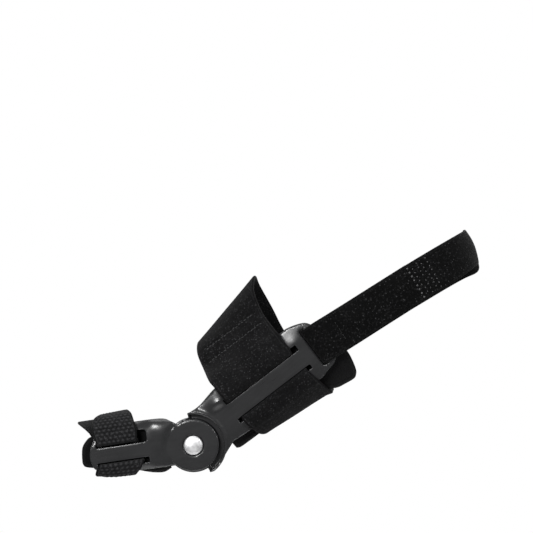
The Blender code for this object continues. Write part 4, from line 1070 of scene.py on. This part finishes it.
def weld_dots(strap):
    """Low round dots in columns across the strap, standing on its face."""
    rows = np.nonzero(strap.rows > HEEL_OUTSIDE_ROW)[0]
    lean = math.radians(HEEL_LEAN - REAR_LEAN)
    bm = bmesh.new()
    for column in range(WELD_PATCH["columns"]):
        reach = WELD_PATCH["reach"] + column * WELD_PATCH["column_pitch"]
        radius = WELD_PATCH["radius"] * WELD_PATCH["others" if column else "first"]
        size = Matrix.Diagonal((radius, radius, 0.45 * radius, 1.0))
        for dot in range(WELD_PATCH["dots"] - column % 2):
            step = dot + 0.5 * (column % 2) - (WELD_PATCH["dots"] - 1) / 2
            across = 0.5 + step * WELD_PATCH["dot_pitch"] / HEEL_WIDTH
            c = int(np.argmin(abs(strap.across - across)))
            along = ((strap.outer[rows, c, 0] - CROSS_SLOT_AT) * math.cos(lean)
                     + (strap.outer[rows, c, 2] - CROSS_SLOT_MIDDLE) * math.sin(lean))
            along = np.where(strap.outer[rows, c, 1] < 20 * MM, along, np.inf)
            row = rows[np.argmin(abs(along - reach))]
            out = Vector(strap.normal[row, c])
            turn = out.to_track_quat("Z", "Y").to_matrix().to_4x4()
            bmesh.ops.create_uvsphere(bm, u_segments=12, v_segments=6, radius=1.0,
                                      matrix=Matrix.Translation(strap.outer[row, c]) @ turn @ size)
    return bm


def weld_plastic():
    material, place, shader = new_material("weld_plastic", Specular_IOR_Level=0.4)
    melt = place.noise(900.0, 3.0)
    base = melt.ramp(0.3, 0.7).tint((0.010, 0.010, 0.0105), (0.030, 0.030, 0.031))
    feed(place, shader, Base_Color=base,
         Roughness=0.45 + melt * 0.2, Normal=melt.bump(0.05 * MM))
    return material


heel_velour = brushed_loop("heel_velour", (0.0004, 0.0004, 0.0004), (0.0024, 0.0024, 0.0025),
                           (0.050, 0.050, 0.052), 0.22)
heel = Strap(heel_line, HEEL_WIDTH, HEEL_WALL, 0.85 * MM, heel_relief)
heel_piece = finished("heel_webbing", heel.mesh(), *REAR, heel_velour, "velour", "heel_strap", 60.0)
dots = finished("heel_weld_dots", weld_dots(heel), *REAR, weld_plastic(), "velour")
fold_line = heel.outer[:, FOLD_STITCHES["column"]]
fold_sewn = slice(FOLD_STITCHES["inset"], -FOLD_STITCHES["inset"])
for number, reach in enumerate(FOLD_STITCHES["reaches"], 1):
    shown = np.nonzero((heel.rows > HEEL_OUTSIDE_ROW) & (fold_line[:, 1] < 10 * MM))[0]
    row = shown[np.argmin(abs(fold_line[shown, 0] - CROSS_SLOT_AT - reach))]
    stitches(f"heel_fold_stitch_{number}", heel.outer[row, fold_sewn],
                              heel.normal[row, fold_sewn], FOLD_STITCHES["pitch"],
                              FOLD_STITCHES["thread"])


# The toe strap is charcoal loop tape with rows of raised dots on its outside. It starts under the
# tab, goes over and under the toe loop, in at the lower slot, behind the bar and out at the upper
# slot, and its free end closes over the first end as a short tab.

TOE_WIDTH = 24.0 * MM
TOE_OUTER_SIDE = 31.0 * MM
TOE_CREST = (21.7 * MM, 20.4 * MM)
TOE_SOLE = (12.3 * MM, 9.7 * MM)
DOT_PITCH = (2.25 * MM, 2.7 * MM)
DOT_HEIGHT = 0.28 * MM
DOT_SPREAD = (0.50 * MM, 0.72 * MM)
TOE_ROWS = (
    # place, rear edge, front edge
    ("end_low", 0.33, 1.22),
    ("end_mid", 0.42, 1.34),
    ("end_top", 0.48, 1.43),
    ("shoulder", 0.54, 1.54),
    ("crest", 0.57, 1.63),
    ("far_top", 0.53, 1.56),
    ("far_side", 0.46, 1.42),
    ("far_low", 0.40, 1.35),
    ("sole", 0.39, 1.31),
    ("sole_near", 0.42, 1.28),
    ("bar_low_edge", 0.36, 1.31),
    ("bar_low", 0.22, 1.27),
    ("lower_slot_out", 0.12, 1.195),
    ("lower_slot_in", 0.12, 1.19),
    ("bar", 0.18, 1.18),
    ("upper_slot_in", 0.22, 1.17),
    ("upper_slot_out", 0.22, 1.17),
    ("tab_low", 0.20, 1.21),
    ("tab_mid", 0.21, 1.24),
    ("tab_top", 0.24, 1.24),
    ("tab_shoulder", 0.30, 1.21),
    ("tab_crest", 0.40, 1.10),
    ("tab_end", 0.46, 1.05),
)


def toe_points(along):
    """The toe strap's middle, place by place, at one place along the toe plate."""
    half = TOE_STRAP_WALL / 2
    proud = half + 2.5 * CLEARANCE
    share = (along - TOE_SLOT[0]) / (TOE_SLOT[1] - TOE_SLOT[0])
    crest, sole = mix(*TOE_CREST, min(share, 1.0)), -mix(*TOE_SOLE, share)
    slot_top, slot_low = TOE_UPPER_SLOT_TOP, TOE_LOWER_SLOT_LOW
    low = edge_height(TOE_LOWER_EDGE, along, TOE_LENGTH, -TOE_DROP)
    outside = TOE_STRAP_WALL + 1.5 * CLEARANCE
    behind = PLATE_WALL + CLEARANCE + half
    upper, lower = mix(TOE_BAR[1], slot_top, 0.31), mix(TOE_BAR[0], slot_low, 0.5)
    side, middle = TOE_OUTER_SIDE, mix(sole, crest, 0.5)
    between = mix(slot_top, TOE_TOP, 0.5)
    shoulder = mix(TOE_TOP, crest, 0.62)
    top = min(TOE_TOP, crest - half)

    def over(height, lift=0.0):
        return float(flank(height, TOE_BAR, TOE_FLANK_RADIUS)) - proud - lift

    return {
        "end_low": (over(slot_top) - 0.1 * half, slot_top - 0.5 * half),
        "end_mid": (over(between), between),
        "end_top": (over(TOE_TOP) - 0.2 * half, top),
        "shoulder": (0.27 * side, shoulder),
        "crest": (0.47 * side, crest),
        "far_top": (0.74 * side, crest - 0.08 * side),
        "far_side": (side, middle + 0.08 * side),
        "far_low": (0.93 * side, mix(sole, middle, 0.45)),
        "sole": (0.72 * side, sole + 0.02 * side),
        "sole_near": (0.38 * side, sole),
        "bar_low_edge": (over(low) + 1.4 * proud, min(sole + half, low - proud)),
        "bar_low": (over(mix(slot_low, low, 0.5)), mix(slot_low, low, 0.6)),
        "lower_slot_out": (-proud, lower),
        "lower_slot_in": (behind, lower),
        "bar": (behind, mix(*TOE_BAR, 0.5)),
        "upper_slot_in": (behind, upper),
        "upper_slot_out": (-1.7 * proud, upper - 0.35 * half),
        "tab_low": (over(slot_top, outside) - 0.1 * half, slot_top - 1.2 * half),
        "tab_mid": (over(between, outside), between),
        "tab_top": (over(TOE_TOP, outside) - 0.2 * half, top + 0.4 * half),
        "tab_shoulder": (0.27 * side - 0.6 * outside, shoulder + outside),
        "tab_crest": (0.47 * side, crest + outside),
        "tab_end": (0.60 * side, crest + outside - 0.02 * side),
    }


toe_places = [row[0] for row in TOE_ROWS]


def toe_line(share):
    rows = []
    for place, rear, front in TOE_ROWS:
        along = TOE_SLOT[0] + mix(rear, front, share) * TOE_WIDTH
        rows.append((-along, *toe_points(along)[place]))
    held = toe_places.index("bar_low"), toe_places.index("upper_slot_out")
    return run_through(rows, ((held[0], True), (held[1], False), (len(rows) - 1, True)))


def dotted_relief(strap, surface, places):
    """Raised dots in staggered rows, on the tab and on the stretch below the plate; the dot mask
    returned second marks where the dots are painted lighter as a highlight.
    """
    line = places[:, None] / DOT_PITCH[0]
    across = strap.across[None, :] * TOE_WIDTH / DOT_PITCH[1]
    nearest = np.round(line)
    across = across + 0.5 * (nearest % 2)
    off_line = (line - nearest) * DOT_PITCH[0]
    off_across = (across - np.round(across)) * DOT_PITCH[1]
    dot = np.exp(-((off_line / DOT_SPREAD[0]) ** 2 + (off_across / DOT_SPREAD[1]) ** 2))
    inside = ease((strap.edge - 0.9 * MM) / (0.9 * MM))
    rows = strap.rows[:, None]
    shown = ease((rows - toe_places.index("sole_near")) * 2)
    in_slots = ease((rows - toe_places.index("lower_slot_out")) * 4)
    in_slots *= ease((toe_places.index("upper_slot_out") + 0.3 - rows) * 4)
    dot = dot * inside * shown * (1 - in_slots)
    return DOT_HEIGHT * dot, dot


dotted_loop = brushed_loop("dotted_loop", (0.0016, 0.0016, 0.0017), (0.0068, 0.0068, 0.0071),
                           (0.045, 0.045, 0.047), 0.25)
toe = Strap(toe_line, TOE_WIDTH, TOE_STRAP_WALL, 0.45 * MM, dotted_relief)
toe_piece = finished("toe_tape", toe.mesh(), *TOE, dotted_loop, "toe_velour", "toe_strap", 60.0)


# The studio: a pale floor well below the splint, even white surroundings, a soft light overhead, a
# key light on the front left, a weaker one on the front right, two large ones behind that edge the
# black cloth, and a camera level with the splint.

CAMERA_DISTANCE = 830.0 * MM
CAMERA_AIM = (1.1 * MM, 53.4 * MM)
FLOOR_HEIGHT = -0.55
FLOOR_RADIUS = 0.55
LIGHTS = (
    # name, place, size, watts
    ("key", (-0.40, -0.98, 0.33), 0.32, 15.0),
    ("right", (0.75, -0.75, 0.45), 0.20, 8.0),
    ("rim_left", (-0.90, 0.60, 0.35), 0.60, 9.0),
    ("rim_right", (0.80, 0.75, 0.45), 0.60, 11.0),
)
OVERHEAD = 3.1
SURROUNDINGS = 0.30


def studio_floor():
    bm = bmesh.new()
    bmesh.ops.create_circle(bm, cap_ends=True, segments=96, radius=FLOOR_RADIUS,
                            matrix=Matrix.Translation((0.0, 0.0, FLOOR_HEIGHT)))
    mesh = bpy.data.meshes.new("floor")
    bm.to_mesh(mesh)
    bm.free()
    material, place, shader = new_material("pale_floor", Roughness=0.9, Specular_IOR_Level=0.1)
    clouds = place.noise(3.0, 2.0)
    feed(place, shader, Base_Color=clouds.tint((0.86, 0.86, 0.86), (0.88, 0.88, 0.88)))
    mesh.materials.append(material)
    floor = bpy.data.objects.new("floor", mesh)
    bpy.context.collection.objects.link(floor)


def studio_light(name, place, size, watts):
    lamp = bpy.data.lights.new(name, "AREA")
    lamp.size, lamp.energy = size, watts
    light = bpy.data.objects.new(name, lamp)
    light.location = place
    light.rotation_euler = (-Vector(place)).to_track_quat("-Z", "Y").to_euler()
    bpy.context.collection.objects.link(light)


studio_floor()
for light in LIGHTS:
    studio_light(*light)
overhead = bpy.data.lights.new("overhead", "SUN")
overhead.energy, overhead.angle = OVERHEAD, math.radians(60)
overhead_light = bpy.data.objects.new("overhead", overhead)
bpy.context.collection.objects.link(overhead_light)
world = bpy.data.worlds.new("white_surroundings")
world.use_nodes = True
background = world.node_tree.nodes["Background"]
background.inputs["Color"].default_value = (1.0, 1.0, 1.0, 1.0)
seen = Wire(world.node_tree).node("LightPath")
feed(seen, background, Strength=seen.ramp(0.0, 1.0, SURROUNDINGS, 1.0))
bpy.context.scene.world = world
bpy.context.scene.view_settings.view_transform = "Standard"
lens = bpy.data.cameras.new("camera")
lens.lens, lens.sensor_width = 100.0, 36.0
camera = bpy.data.objects.new("camera", lens)
camera.location = (CAMERA_AIM[0], HINGE.y - CAMERA_DISTANCE, CAMERA_AIM[1])
camera.rotation_euler = (math.pi / 2, 0.0, 0.0)
bpy.context.collection.objects.link(camera)
bpy.context.scene.camera = camera
